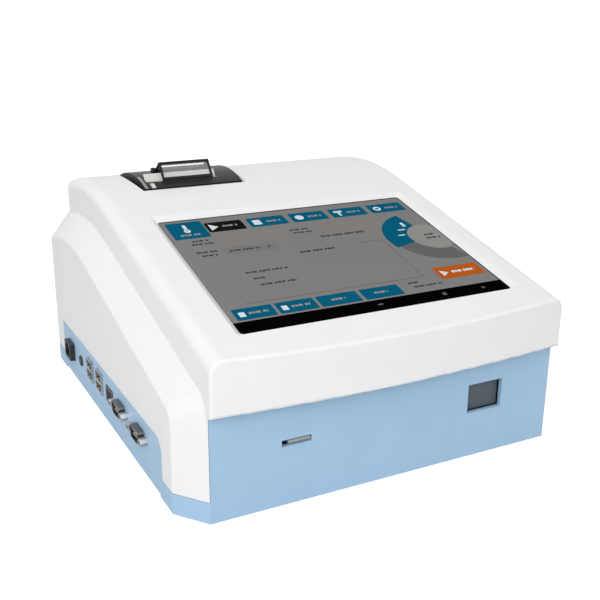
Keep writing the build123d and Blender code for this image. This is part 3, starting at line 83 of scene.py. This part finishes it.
def surface(name, colour, rough=0.5, metal=0.0, grain=900.0, bump=0.05, vary=0.03, coat=0.0,
            stretch=(1.0, 1.0, 1.0), alpha=1.0, specular=0.5):
    """A principled surface whose colour and relief vary with a noise."""
    made = bpy.data.materials.new(name)
    made.use_nodes = True
    nodes, links = made.node_tree.nodes, made.node_tree.links
    shader = nodes["Principled BSDF"]
    shader.inputs["Roughness"].default_value = rough
    shader.inputs["Metallic"].default_value = metal
    shader.inputs["Coat Weight"].default_value = coat
    shader.inputs["Coat Roughness"].default_value = COAT_ROUGHNESS
    shader.inputs["Alpha"].default_value = alpha
    shader.inputs["Specular IOR Level"].default_value = specular
    where = nodes.new("ShaderNodeTexCoord")
    mapping = nodes.new("ShaderNodeMapping")
    mapping.inputs["Scale"].default_value = stretch
    links.new(where.outputs["Object"], mapping.inputs["Vector"])
    noise = nodes.new("ShaderNodeTexNoise")
    noise.inputs["Scale"].default_value = grain
    noise.inputs["Detail"].default_value = 3.0
    links.new(mapping.outputs["Vector"], noise.inputs["Vector"])
    relief = nodes.new("ShaderNodeBump")
    relief.inputs["Strength"].default_value = bump
    relief.inputs["Distance"].default_value = RELIEF_DEPTH
    links.new(noise.outputs["Fac"], relief.inputs["Height"])
    links.new(relief.outputs["Normal"], shader.inputs["Normal"])
    cloud = nodes.new("ShaderNodeTexNoise")
    cloud.inputs["Scale"].default_value = grain / CLOUD_SIZE
    cloud.inputs["Detail"].default_value = 2.0
    links.new(mapping.outputs["Vector"], cloud.inputs["Vector"])
    ramp = nodes.new("ShaderNodeValToRGB")
    dark = [c * (1.0 - vary) for c in colour[:3]] + [1.0]
    light = [min(c * (1.0 + vary), 1.0) for c in colour[:3]] + [1.0]
    for element, shade, position in zip(ramp.color_ramp.elements, (dark, light), CLOUD_RANGE):
        element.color = shade
        element.position = position
    links.new(cloud.outputs["Fac"], ramp.inputs["Fac"])
    links.new(ramp.outputs["Color"], shader.inputs["Base Color"])
    return made


def glass(name, colour, alpha):
    """Clear moulded plastic, with a faint haze."""
    return surface(name, colour, rough=0.06, grain=400.0, bump=0.01, vary=0.02, alpha=alpha,
                   coat=0.4)


finishes = {
    "case_white": surface("case_white", (0.79, 0.792, 0.80, 1), rough=0.36, grain=1400, bump=0.04,
                          vary=0.008),
    "case_blue": surface("case_blue", (0.335, 0.51, 0.685, 1), rough=0.46, grain=1400, bump=0.06,
                         vary=0.012),
    "rubber_black": surface("rubber_black", (0.02, 0.02, 0.02, 1), rough=0.8, grain=700, bump=0.2),
    "steel_zinc": surface("steel_zinc", (0.55, 0.56, 0.57, 1), rough=0.35, metal=1.0, grain=500,
                          bump=0.08, vary=0.06, stretch=(1, 1, 12)),
    "nickel_shell": surface("nickel_shell", (0.58, 0.57, 0.55, 1), rough=0.3, metal=1.0, grain=600,
                            bump=0.06, vary=0.05),
    "shell_dark": surface("shell_dark", (0.20, 0.195, 0.19, 1), rough=0.32, metal=1.0, grain=600,
                          bump=0.06, vary=0.08),
    "pin_bright": surface("pin_bright", (0.80, 0.76, 0.66, 1), rough=0.3, metal=0.6, grain=900),
    "gasket_foam": surface("gasket_foam", (0.05, 0.05, 0.05, 1), rough=0.9, grain=900, bump=0.3),
    "screen_glass": surface("screen_glass", (0.012, 0.012, 0.012, 1), rough=0.12, grain=300,
                            bump=0.005, vary=0.02, coat=0.6),
    "lcd_metal": surface("lcd_metal", (0.5, 0.5, 0.52, 1), rough=0.35, metal=1.0, grain=500),
    "board_green": surface("board_green", (0.02, 0.13, 0.06, 1), rough=0.4, grain=300, bump=0.1,
                           vary=0.15),
    "sink_metal": surface("sink_metal", (0.16, 0.17, 0.19, 1), rough=0.4, metal=1.0, grain=600),
    "socket_black": surface("socket_black", (0.018, 0.018, 0.02, 1), rough=0.45, grain=900,
                            bump=0.08),
    "socket_tongue": surface("socket_tongue", (0.10, 0.10, 0.105, 1), rough=0.5, grain=900),
    # The record calls this slot blue; the photograph shows it near black
    "serial_blue": surface("serial_blue", (0.03, 0.03, 0.035, 1), rough=0.5, grain=900),
    "pin_gold": surface("pin_gold", (0.80, 0.58, 0.25, 1), rough=0.25, metal=1.0, grain=900),
    "chip_grey": surface("chip_grey", (0.32, 0.33, 0.34, 1), rough=0.5, grain=900),
    "drawer_grey": surface("drawer_grey", (0.075, 0.09, 0.105, 1), rough=0.5, grain=1200,
                           bump=0.08),
    "bush_bronze": surface("bush_bronze", (0.5, 0.33, 0.15, 1), rough=0.4, metal=1.0, grain=900),
    "gear_white": surface("gear_white", (0.78, 0.77, 0.72, 1), rough=0.4, grain=900),
    "head_black": surface("head_black", (0.02, 0.02, 0.02, 1), rough=0.6, grain=900),
    "lens_glass": glass("lens_glass", (0.5, 0.6, 0.7, 1), 0.4),
    "printer_black": surface("printer_black", (0.006, 0.006, 0.007, 1), rough=0.38, grain=1300,
                             bump=0.04, vary=0.05, specular=0.22),
    "paper_white": surface("paper_white", (0.62, 0.62, 0.60, 1), rough=0.8, grain=1500, bump=0.15,
                           vary=0.02),
    "card_core": surface("card_core", (0.42, 0.32, 0.2, 1), rough=0.85, grain=800, bump=0.2),
    # Painted highlight: the grey of a strip that stands in for the light caught by the printer's
    # glossy left edge
    "painted_glint_grey": surface("painted_glint_grey", (0.24, 0.24, 0.245, 1), rough=0.3, grain=900),
    "tab_light": surface("tab_light", (0.62, 0.62, 0.62, 1), rough=0.4, grain=900),
    "pane_clear": glass("pane_clear", (0.85, 0.87, 0.9, 1), 0.12),
}

# Nodes that look different from the other nodes of their slot
own_looks = {"serial_shells": "shell_dark", "serial_pins": "pin_bright"}
node_slots = {entry["node"]: entry["material_slot"] for entry in frame["record"]["subparts"]}
for node_name, node in frame["nodes"].items():
    node.data.materials.clear()
    node.data.materials.append(finishes[own_looks.get(node_name, node_slots[node_name])])

picture = {
    "page": linear(124, 123, 121),
    "teal": linear(8, 88, 116),
    "tile_black": linear(22, 22, 24),
    "bar_black": linear(4, 4, 5),
    "orange": linear(176, 86, 30),
    "white": linear(206, 214, 218),
    "line": linear(96, 94, 92),
    "field": linear(140, 138, 135),
    "field_edge": linear(150, 132, 122),
    "button_grey": linear(118, 117, 116),
    "mid_grey": linear(98, 98, 98),
    "ink": linear(66, 64, 66),
}
screen_inks = {
    name: surface("screen_" + name, colour, rough=0.22, grain=250.0, bump=0.004, vary=0.012,
                  specular=0.0)
    for name, colour in picture.items()
}


# ------------------------------------------------------------------------------------------
# Small builders
# ------------------------------------------------------------------------------------------
def piece(name, build, material, body="case"):
    """A mesh object made by build(bmesh) that rides on a body."""
    shape = bmesh.new()
    build(shape)
    bmesh.ops.recalc_face_normals(shape, faces=shape.faces)
    data = bpy.data.meshes.new(name)
    shape.to_mesh(data)
    shape.free()
    made = bpy.data.objects.new(name, data)
    bpy.context.scene.collection.objects.link(made)
    data.materials.append(material)
    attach(made, body)
    return made


def prism(shape, low_ring, high_ring):
    """A closed prism between two rings of points."""
    low = [shape.verts.new(point) for point in low_ring]
    high = [shape.verts.new(point) for point in high_ring]
    shape.faces.new(list(reversed(low)))
    shape.faces.new(high)
    count = len(low)
    for i in range(count):
        j = (i + 1) % count
        shape.faces.new((low[i], low[j], high[j], high[i]))


def box_into(shape, x, y, z):
    """A box between limits in case millimetres."""
    ring = [(x[0], y[0]), (x[1], y[0]), (x[1], y[1]), (x[0], y[1])]
    prism(shape, [at(a, b, z[0]) for a, b in ring], [at(a, b, z[1]) for a, b in ring])


def rod_into(shape, start, end, radius, sides=24):
    """A rod between two points in case millimetres, round or with few sides."""
    a, b = at(*start), at(*end)
    along = (b - a).normalized()
    across = along.orthogonal().normalized()
    if abs(along.z) < 0.5:
        across = Vector((0, 0, 1)).cross(along).normalized()
    third = along.cross(across)
    turn = [2 * pi * i / sides for i in range(sides)]
    ring = [(across * cos(t) + third * sin(t)) * radius * MM for t in turn]
    prism(shape, [a + r for r in ring], [b + r for r in ring])


def strip_end(x, y, z):
    """Four corners of a strip's end, at height z[0] where x is x[0] and z[1] where it is x[1]."""
    return [at(x[0], y[0], z[0]), at(x[0], y[1], z[0]), at(x[1], y[1], z[1]), at(x[1], y[0], z[1])]


def slope_plate(shape, outline, low, high):
    """A flat plate on the slope with an (x, s) outline between two levels."""
    prism(shape, [on_slope(x, s, low) for x, s in outline],
          [on_slope(x, s, high) for x, s in outline])


def rectangle(x, s, radius=0.0, steps=5):
    """Outline of a rectangle, with round corners where radius isn't 0."""
    if not radius:
        return [(x[0], s[0]), (x[1], s[0]), (x[1], s[1]), (x[0], s[1])]
    corners = [(x[1] - radius, s[1] - radius, 0), (x[0] + radius, s[1] - radius, 1),
               (x[0] + radius, s[0] + radius, 2), (x[1] - radius, s[0] + radius, 3)]
    outline = []
    for cx, cs, quarter in corners:
        for i in range(steps + 1):
            angle = (quarter + i / steps) * pi / 2
            outline.append((cx + radius * cos(angle), cs + radius * sin(angle)))
    return outline


def sector(cx, cs, inner, outer, start, end, steps=40):
    """Outline of a ring sector between two angles in degrees, or of a disc where inner is 0."""
    angles = [radians(start + (end - start) * i / steps) for i in range(steps + 1)]
    rim = [(cx + outer * cos(a), cs + outer * sin(a)) for a in angles]
    if not inner:
        return rim
    return rim + [(cx + inner * cos(a), cs + inner * sin(a)) for a in reversed(angles)]


# ------------------------------------------------------------------------------------------
# Picture on the screen: generic tiles, fields, a dial and a bar, in x across and s up the slope
# ------------------------------------------------------------------------------------------
SCREEN_X = (-95.9, 100.7)
SCREEN_S = (23.9, 168.5)
LAYER = 0.03
LAYER_THICKNESS = 0.8 * LAYER
FIRST = GLASS_N + 0.02
DISC_END = 351  # degrees: a 40-step disc closes without a double point


def shown(name, outlines, colour, layer):
    """One coloured layer of the picture, made of several outlines kept inside the screen."""
    def build(shape):
        low = FIRST + layer * LAYER
        for outline in outlines:
            inside = [(min(max(x, SCREEN_X[0]), SCREEN_X[1]),
                       min(max(s, SCREEN_S[0]), SCREEN_S[1])) for x, s in outline]
            slope_plate(shape, inside, low, low + LAYER_THICKNESS)
    return piece("screen_" + name, build, screen_inks[colour])


BLOCK_WIDTHS = (2.2, 1.5, 3.0, 1.8, 2.6)
BLOCK_GAP, EXTRA_GAP, BLOCKS_TOGETHER = 0.55, 1.1, 3


def word(x, s, length, height=2.0):
    """A stand-in for a written line: short blocks in a row."""
    marks = []
    place, i = x, 0
    while place < x + length:
        width = BLOCK_WIDTHS[i % len(BLOCK_WIDTHS)]
        marks.append(rectangle((place, min(place + width, x + length)), (s, s + height)))
        last = i % BLOCKS_TOGETHER == BLOCKS_TOGETHER - 1
        place += width + BLOCK_GAP + (EXTRA_GAP if last else 0.0)
        i += 1
    return marks


def words(places):
    """Stand-ins at several places, each (x, s, length) or (x, s, length, height)."""
    return [mark for place in places for mark in word(*place)]


BAR_TOP = 36.6
shown("page", [rectangle(SCREEN_X, SCREEN_S)], "page", 0)
shown("bar", [rectangle(SCREEN_X, (SCREEN_S[0], BAR_TOP))], "bar_black", 1)
shown("bar_icons", [
    [(0, 30.5), (4.5, 30.5), (4.5, 32.0), (1.5, 32.0)],
    rectangle((50.0, 53.0), (29.5, 32.5)),
    [(82.0, 29.5), (85.0, 31.0), (82.0, 32.5)],
], "line", 2)

TILE_CORNER, LOW_CORNER = 1.2, 1.0
TOP_ROW, LOW_ROW = (148.0, 161.5), (38.2, 50.6)
TOP_TILES = [(-33.0, -3.5), (0.5, 29.5), (33.5, 63.0), (67.0, 97.0)]
LOW_TILES = [(-91.5, -65.0), (-63.0, -36.5), (-34.5, -5.5), (-3.0, 26.0)]
HOME_TILE = (-92.0, -66.0), (142.0, 166.0)
CURRENT_TILE = (-65.0, -37.0), (147.5, 161.5)
ICON_S = 154.6  # middle of the round icons in the top row
LOW_ICON = (41.5, 46.5)
shown("tiles", [rectangle(*HOME_TILE, TILE_CORNER)]
      + [rectangle(x, TOP_ROW, TILE_CORNER) for x in TOP_TILES]
      + [rectangle(x, LOW_ROW, LOW_CORNER) for x in LOW_TILES], "teal", 1)
shown("tile_current", [rectangle(*CURRENT_TILE, TILE_CORNER)], "tile_black", 1)
shown("tile_icons", [
    [(-62.5, 150.0), (-56.0, 154.5), (-62.5, 159.0)],
    rectangle((-81.0, -78.5), (153.0, 162.0), LOW_CORNER),
    sector(-79.7, 153.0, 0, 2.4, 0, DISC_END),
    rectangle((-29.5, -23.5), (151.0, 158.0)),
    sector(7.5, ICON_S, 0, 3.4, 0, DISC_END),
    rectangle((37.0, 44.0), (155.5, 158.0)),
    rectangle((39.5, 41.5), (150.5, 155.5)),
    sector(74.0, ICON_S, 1.4, 3.2, 0, 359),
    rectangle((-88.5, -84.5), LOW_ICON),
    rectangle((-60.0, -56.0), LOW_ICON),
], "white", 2)
TILE_WORD, LOW_WORD = 2.4, 2.2
shown("tile_words", words(
    [(-53.0, 153.6, 11.0, TILE_WORD)]
    + [(left + 14.0, 153.4, 11.0, TILE_WORD) for left, _ in TOP_TILES]
    + [(-86.5, 146.0, 14.0, TILE_WORD)]
    + [(left + 9.5, 43.4, 13.0, LOW_WORD) for left, _ in LOW_TILES[:2]]
    + [(left + 9.0, 43.4, 10.0, LOW_WORD) for left, _ in LOW_TILES[2:]]
), "field", 2)

shown("field_edges", [
    rectangle((-60.5, -12.0), (130.6, 139.4)),
    rectangle((12.0, 58.0), (130.8, 139.0)),
], "field_edge", 1)
shown("fields", [
    rectangle((-60.1, -12.4), (131.0, 139.0)),
    rectangle((12.4, 57.6), (131.2, 138.6)),
], "page", 2)
shown("list_box", [rectangle((-66.0, -28.0), (114.8, 124.0), 0.8)], "button_grey", 1)
list_arrow = [(-31.0, 120.4), (-36.0, 117.4), (-33.5, 120.4)]
shown("list_mark", [list_arrow] + word(-62.5, 118.4, 22.0), "ink", 2)
LABELS = (
    (-82.0, 136.6, 12.0), (-84.0, 132.2, 16.0), (-85.0, 120.8, 15.0), (-83.0, 116.0, 11.0),
    (-9.0, 136.4, 15.0), (-7.5, 132.0, 14.0), (9.0, 122.4, 36.0, 2.4), (-16.0, 105.0, 27.0, 2.4),
    (-64.0, 88.4, 30.0), (-62.0, 80.4, 9.0), (-60.5, 72.4, 25.0), (34.5, 48.0, 9.0),
    (36.5, 43.0, 22.0),
)
shown("labels", words(LABELS), "ink", 1)
FRAME_X, FRAME_S, RULE = (-80.0, 51.0), (54.6, 109.0), 0.5
shown("result_frame", [
    rectangle((FRAME_X[0], FRAME_X[1]), (FRAME_S[0], FRAME_S[0] + RULE)),
    rectangle((FRAME_X[1] - RULE, FRAME_X[1]), (FRAME_S[0] + RULE, FRAME_S[1])),
    rectangle((32.0, FRAME_X[1] - RULE), (FRAME_S[1] - RULE, FRAME_S[1])),
], "line", 1)

DIAL = (91.0, 105.0)
DIAL_WORDS = ((86.0, 106.5, 9.0, 2.2), (85.5, 101.5, 12.0, 2.2))
shown("dial_rest", [sector(*DIAL, 19.0, 34.0, 196.0, 286.0)], "mid_grey", 1)
shown("dial_teal", [sector(*DIAL, 17.0, 36.5, 104.0, 196.0)], "teal", 2)
shown("dial_face", [sector(*DIAL, 0, 18.0, 0, DISC_END)], "field", 3)
shown("dial_words", words(DIAL_WORDS), "ink", 4)
shown("dial_marks", [
    rectangle((70.5, 76.5), (118.0, 119.4)),
    rectangle((66.5, 72.0), (110.5, 111.9)),
    rectangle((78.0, 80.4), (123.0, 129.0)),
], "white", 3)
start_arrow = [(65.5, 51.0), (71.0, 54.8), (65.5, 58.6)]
shown("start_button", [rectangle((62.0, 98.0), (47.4, 62.4), TILE_CORNER)], "orange", 1)
shown("start_mark", [start_arrow] + word(74.0, 53.6, 19.0, 2.6), "white", 2)

# ------------------------------------------------------------------------------------------
# Socket details
# ------------------------------------------------------------------------------------------
SIDE_X = -140.0  # outside of the socket panel
LAN_Y, POWER_Y, USB_Y, SERIAL_Y = 101.5, 74.0, (46.4, 22.0), (-30.0, -70.0)
LAN_CONTACTS, LAN_PITCH, LAN_HALF = 8, 1.02, 0.2
LAN_MOUTH = SIDE_X + 1.0
USB_ROWS = (23.6, 31.2)  # middle height of each tongue
USB_CONTACTS, USB_PITCH, USB_HALF = 4, 2.4, 0.5
SPRING_SPREAD, SPRING_HALF = 3.0, 0.8
SPRING_FOOT, SPRING_TOP = -2.79, -2.3  # under the middle of a tongue
RIM_X = (SIDE_X - 1.5, SIDE_X - 1.2)
RIM_HALF, RIM_WIDTH, RIM_HEIGHTS = 7.2, 0.4, (19.5, 27.0, 34.9)
JACK_Z, JACK_RING = 24.5, (2.35, 2.7)
SERIAL_Z, SCREW_SPREAD, SCREW_BORE, SCREW_FACE = 28.2, 12.5, 1.5, SIDE_X - 5.0
BORE_DEPTH = 0.02


def lan_contacts(shape):
    """The spring contacts of the network socket: a flat foot and a rising wire each."""
    for i in range(LAN_CONTACTS):
        y = LAN_Y + (i - (LAN_CONTACTS - 1) / 2) * LAN_PITCH
        wide = (y - LAN_HALF, y + LAN_HALF)
        box_into(shape, (LAN_MOUTH, LAN_MOUTH + 6.6), wide, (19.9, 20.5))
        prism(shape, strip_end((LAN_MOUTH, LAN_MOUTH + 0.4), wide, (20.1, 19.9)),
              strip_end((LAN_MOUTH + 4.0, LAN_MOUTH + 4.4), wide, (22.4, 22.2)))


def usb_contacts(shape):
    """Flat contacts on the tongues of the double sockets."""
    for y in USB_Y:
        for row in USB_ROWS:
            for i in range(USB_CONTACTS):
                place = y + (i - (USB_CONTACTS - 1) / 2) * USB_PITCH
                box_into(shape, (SIDE_X + 1.4, SIDE_X + 8.0), (place - USB_HALF, place + USB_HALF),
                         (row - 0.18, row + 0.06))


def usb_springs(shape):
    """Raised spring strips inside each mouth of the double sockets."""
    foot_x, top_x = (SIDE_X - 0.8, SIDE_X + 3.0), (SIDE_X + 0.6, SIDE_X + 1.8)
    for y in USB_Y:
        for row in USB_ROWS:
            for side in SIDES:
                place = y + side * SPRING_SPREAD
                wide = (place - SPRING_HALF, place + SPRING_HALF)
                foot, top = row + SPRING_FOOT, row + SPRING_TOP
                prism(shape, strip_end(foot_x, wide, (foot, foot)),
                      strip_end(top_x, wide, (top, top)))


def jack_ring(shape, parts=36):
    """Contact ring inside the power socket."""
    inner, outer = JACK_RING
    for i in range(parts):
        a, b = 2 * pi * i / parts, 2 * pi * (i + 1) / parts
        ring = [(POWER_Y + r * cos(t), JACK_Z + r * sin(t))
                for r, t in ((inner, a), (outer, a), (outer, b), (inner, b))]
        prism(shape, [at(SIDE_X - 0.4, y, z) for y, z in ring],
              [at(SIDE_X + 3.0, y, z) for y, z in ring])


def screw_bore_shade(shape):
    """Painted shade: a thin dark disc on the face of each jack screw, where its bore would lie in
    shade.
    """
    for y in SERIAL_Y:
        for side in SIDES:
            place = y + side * SCREW_SPREAD
            rod_into(shape, (SCREW_FACE - BORE_DEPTH, place, SERIAL_Z),
                     (SCREW_FACE, place, SERIAL_Z), SCREW_BORE)


def usb_rims(shape):
    """Rim round the front of each double socket."""
    for y in USB_Y:
        for z in RIM_HEIGHTS:
            box_into(shape, RIM_X, (y - RIM_HALF, y + RIM_HALF), (z, z + RIM_WIDTH))
        for side in SIDES:
            edge = y + side * (RIM_HALF - RIM_WIDTH / 2)
            box_into(shape, RIM_X, (edge - RIM_WIDTH / 2, edge + RIM_WIDTH / 2),
                     (RIM_HEIGHTS[0], RIM_HEIGHTS[-1] + RIM_WIDTH))


piece("lan_contacts", lan_contacts, finishes["pin_gold"])
piece("usb_contacts", usb_contacts, finishes["pin_gold"])
piece("usb_springs", usb_springs, finishes["nickel_shell"])
piece("usb_rims", usb_rims, finishes["nickel_shell"])
piece("jack_ring", jack_ring, finishes["nickel_shell"])
piece("screw_bore_shade", screw_bore_shade, finishes["head_black"])

# ------------------------------------------------------------------------------------------
# Printer details
# ------------------------------------------------------------------------------------------
PRINTER_FRONT, PRINTER_DEPTH, EDGE_Z, RISE = 57.4, 62.6, 156.4, 5.6
crown_mid = PRINTER_FRONT + PRINTER_DEPTH / 2
crown_radius = ((PRINTER_DEPTH / 2) ** 2 + RISE**2) / (2 * RISE)
TEETH, TEETH_LEFT, TEETH_WIDTH, TEETH_Y = 46, -83.6, 56.4, (66.7, 67.1)
TOOTH_TIP = (0.45, 0.55)  # share of the pitch
GRIP_RIBS, GRIP_Y, GRIP_PITCH, GRIP_HALF, GRIP_X = 3, 87.6, 2.4, 0.45, (-66.0, -44.8)
SUNK = 0.2  # how deep a strip starts under the crown


def crown(y):
    """Height of the printer's curved top."""
    return EDGE_Z + RISE - crown_radius + (crown_radius**2 - (y - crown_mid) ** 2) ** 0.5


def tear_teeth(shape):
    """The row of teeth on the tear bar."""
    edge = crown(TEETH_Y[0] - 0.1) - SUNK
    pitch = TEETH_WIDTH / TEETH
    for i in range(TEETH):
        left = TEETH_LEFT + i * pitch
        foot = rectangle((left, left + pitch), TEETH_Y)
        tip = rectangle([left + pitch * share for share in TOOTH_TIP], TEETH_Y)
        prism(shape, [at(x, y, edge - 0.2) for x, y in foot], [at(x, y, edge + 0.9) for x, y in tip])


def door_grip(shape):
    """Raised ribs near the front edge of the paper door."""
    for i in range(GRIP_RIBS):
        y = GRIP_Y + i * GRIP_PITCH
        z = crown(y)
        box_into(shape, GRIP_X, (y - GRIP_HALF, y + GRIP_HALF), (z - 0.3, z + 0.45))


def crown_strip(shape, x, y, rise, parts=8):
    """A thin strip that follows the printer's crown over x and y."""
    for i in range(parts):
        low = y[0] + (y[1] - y[0]) * i / parts
        high = y[0] + (y[1] - y[0]) * (i + 1) / parts
        ring = rectangle(x, (low, high))
        prism(shape, [at(a, b, crown(b) - SUNK) for a, b in ring],
              [at(a, b, crown(b) + rise) for a, b in ring])


def painted_glint_strip(shape):
    """Painted highlight: a grey strip along the left edge of the printer's top, standing in for the
    light caught by its glossy edge.
    """
    crown_strip(shape, (-87.9, -85.8), (57.6, 78.0), 0.12)


def latch_tab(shape):
    """The light tab at the left end of the band in front of the slot."""
    crown_strip(shape, (-82.6, -79.6), (57.7, 64.0), 0.25, parts=3)


piece("tear_teeth", tear_teeth, finishes["nickel_shell"])
piece("painted_glint_strip", painted_glint_strip, finishes["painted_glint_grey"])
piece("latch_tab", latch_tab, finishes["tab_light"])
piece("door_grip", door_grip, finishes["printer_black"], body="door")

# ------------------------------------------------------------------------------------------
# Screw crosses under the base, drawn as painted shade, and components on the board
# ------------------------------------------------------------------------------------------
CASE_SCREW_X, CASE_SCREW_Y, CASE_SCREW_Z = 130.5, (-106.0, 128.0), 2.9
CROSS_SIZE, CROSS_DEPTH = 1.6, 0.03
BOARD_TOP = 17.5
CHIPS = (  # x, y, width, depth, height
    (-60, -20, 16, 16, 1.6), (-60, 60, 12, 20, 1.4), (-90, 80, 10, 7, 1.2), (-50, 96, 18, 8, 2.0),
    (-92, -50, 8, 8, 1.2), (-60, 30, 7, 7, 1.0), (-104, 46, 9, 5, 1.4), (-104, 22, 9, 5, 1.4),
)
CANS = ((-104, 74, 4, 9), (-94, 66, 4, 9), (-104, -2, 3, 7), (-60, 78, 5, 11))  # x, y, radius, height


def screw_cross_shade(shape):
    """Painted shade: a thin dark cross in the head of each case screw, where its recess would lie in
    shade.
    """
    arm = (-CROSS_SIZE, CROSS_SIZE)
    thin = (-CROSS_SIZE / 4, CROSS_SIZE / 4)
    height = (CASE_SCREW_Z - CROSS_DEPTH, CASE_SCREW_Z)
    for y in CASE_SCREW_Y:
        for side in SIDES:
            x = side * CASE_SCREW_X
            for wide, deep in ((arm, thin), (thin, arm)):
                box_into(shape, (x + wide[0], x + wide[1]), (y + deep[0], y + deep[1]), height)


def board_chips(shape):
    """Flat components on the main board."""
    for x, y, wide, deep, tall in CHIPS:
        box_into(shape, (x - wide / 2, x + wide / 2), (y - deep / 2, y + deep / 2),
                 (BOARD_TOP, BOARD_TOP + tall))


def board_cans(shape):
    """Round components on the main board."""
    for x, y, radius, tall in CANS:
        rod_into(shape, (x, y, BOARD_TOP), (x, y, BOARD_TOP + tall), radius, sides=32)


piece("screw_cross_shade", screw_cross_shade, finishes["head_black"])
piece("board_chips", board_chips, finishes["socket_black"])
piece("board_cans", board_cans, finishes["sink_metal"])

# ------------------------------------------------------------------------------------------
# Floor, world, lights and camera
# ------------------------------------------------------------------------------------------
FLOOR_REACH = 6.0  # metres
FLOOR_LIT, FLOOR_SEEN, FLOOR_GLOW = 0.80, 0.62, 0.72
WORLD_LIGHT, WORLD_SEEN = 0.55, 1.0


def ray_is(nodes, links, kinds):
    """1 where the ray is one of the kinds of the Light Path node, otherwise 0."""
    path = nodes.new("ShaderNodeLightPath")
    found = path.outputs[kinds[0]]
    for kind in kinds[1:]:
        either = nodes.new("ShaderNodeMath")
        either.operation = "MAXIMUM"
        links.new(found, either.inputs[0])
        links.new(path.outputs[kind], either.inputs[1])
        found = either.outputs[0]
    return found


def chosen(nodes, links, kinds, otherwise, seen, output):
    """Sends seen to the output for these kinds of ray and otherwise for the rest."""
    choice = nodes.new("ShaderNodeMixShader")
    links.new(ray_is(nodes, links, kinds), choice.inputs[0])
    links.new(otherwise.outputs[0], choice.inputs[1])
    links.new(seen.outputs[0], choice.inputs[2])
    links.new(choice.outputs[0], nodes.new(output).inputs["Surface"])


def grey_diffuse(nodes, level):
    """A plain diffuse shader of one grey."""
    made = nodes.new("ShaderNodeBsdfDiffuse")
    made.inputs["Color"].default_value = (level, level, level, 1)
    return made


def white_background(nodes, strength):
    """A white background of this strength."""
    made = nodes.new("ShaderNodeBackground")
    made.inputs["Color"].default_value = (1, 1, 1, 1)
    made.inputs["Strength"].default_value = strength
    return made


def floor_material():
    """Grey for the light that it returns, white where the camera or clear plastic sees it."""
    made = bpy.data.materials.new("floor")
    made.use_nodes = True
    nodes, links = made.node_tree.nodes, made.node_tree.links
    nodes.clear()
    glow = nodes.new("ShaderNodeEmission")
    glow.inputs["Strength"].default_value = FLOOR_GLOW
    total = nodes.new("ShaderNodeAddShader")
    links.new(grey_diffuse(nodes, FLOOR_SEEN).outputs[0], total.inputs[0])
    links.new(glow.outputs[0], total.inputs[1])
    chosen(nodes, links, ("Is Camera Ray", "Is Transmission Ray"), grey_diffuse(nodes, FLOOR_LIT),
           total, "ShaderNodeOutputMaterial")
    return made


def studio_world():
    """White to the eye and in reflections, and a soft light for the rest."""
    made = bpy.data.worlds.new("studio")
    made.use_nodes = True
    nodes, links = made.node_tree.nodes, made.node_tree.links
    nodes.clear()
    chosen(nodes, links, ("Is Camera Ray", "Is Transmission Ray", "Is Glossy Ray"),
           white_background(nodes, WORLD_LIGHT), white_background(nodes, WORLD_SEEN),
           "ShaderNodeOutputWorld")
    return made


def soft_light(name, place, target, size, watts):
    """A square soft light that looks at a target."""
    data = bpy.data.lights.new(name, "AREA")
    data.shape = "SQUARE"
    data.size = size
    data.energy = watts
    lamp = bpy.data.objects.new(name, data)
    lamp.location = place
    lamp.rotation_euler = (Vector(target) - Vector(place)).to_track_quat("-Z", "Y").to_euler()
    bpy.context.scene.collection.objects.link(lamp)


floor_mesh = bpy.data.meshes.new("floor")
floor_mesh.from_pydata([(-FLOOR_REACH, -FLOOR_REACH, 0), (FLOOR_REACH, -FLOOR_REACH, 0),
                        (FLOOR_REACH, FLOOR_REACH, 0), (-FLOOR_REACH, FLOOR_REACH, 0)],
                       [], [(0, 1, 2, 3)])
floor = bpy.data.objects.new("floor", floor_mesh)
bpy.context.scene.collection.objects.link(floor)
floor_mesh.materials.append(floor_material())
bpy.context.scene.world = studio_world()

soft_light("key_light", (-1.2, -0.9, 1.3), (0, 0, 0.08), 1.2, 17.0)
soft_light("top_light", (0.1, 0.0, 1.8), (0, 0, 0.1), 1.6, 1.5)
soft_light("front_light", (-0.3, -1.7, 1.05), (0, 0, 0.08), 0.8, 8.0)

# The camera of the photograph, 600 pixels wide
PHOTO_WIDTH, FOCAL_LENGTH, SHIFT = 600.0, 905.1, -0.7  # pixels
SENSOR_WIDTH = 36.0
CAMERA_PLACE = (-291.5, -573.1, 290.6)
azimuth, elevation, roll = radians(-27.75), radians(18.48), radians(0.49)
camera_data = bpy.data.cameras.new("camera")
camera_data.sensor_width = SENSOR_WIDTH
camera_data.lens = FOCAL_LENGTH / PHOTO_WIDTH * SENSOR_WIDTH
camera_data.shift_y = SHIFT / PHOTO_WIDTH
camera_data.clip_start = 0.01
camera = bpy.data.objects.new("camera", camera_data)
bpy.context.scene.collection.objects.link(camera)
back = Vector((sin(azimuth) * cos(elevation), -cos(azimuth) * cos(elevation), sin(elevation)))
right = Vector((0, 0, 1)).cross(back).normalized()
up = back.cross(right)
turned_right = right * cos(roll) + up * sin(roll)
turned_up = up * cos(roll) - right * sin(roll)
turn = Matrix((turned_right, turned_up, back)).transposed().to_4x4()
camera.matrix_world = Matrix.Translation(at(*CAMERA_PLACE)) @ turn
bpy.context.scene.camera = camera
bpy.context.scene.view_settings.view_transform = "Standard"
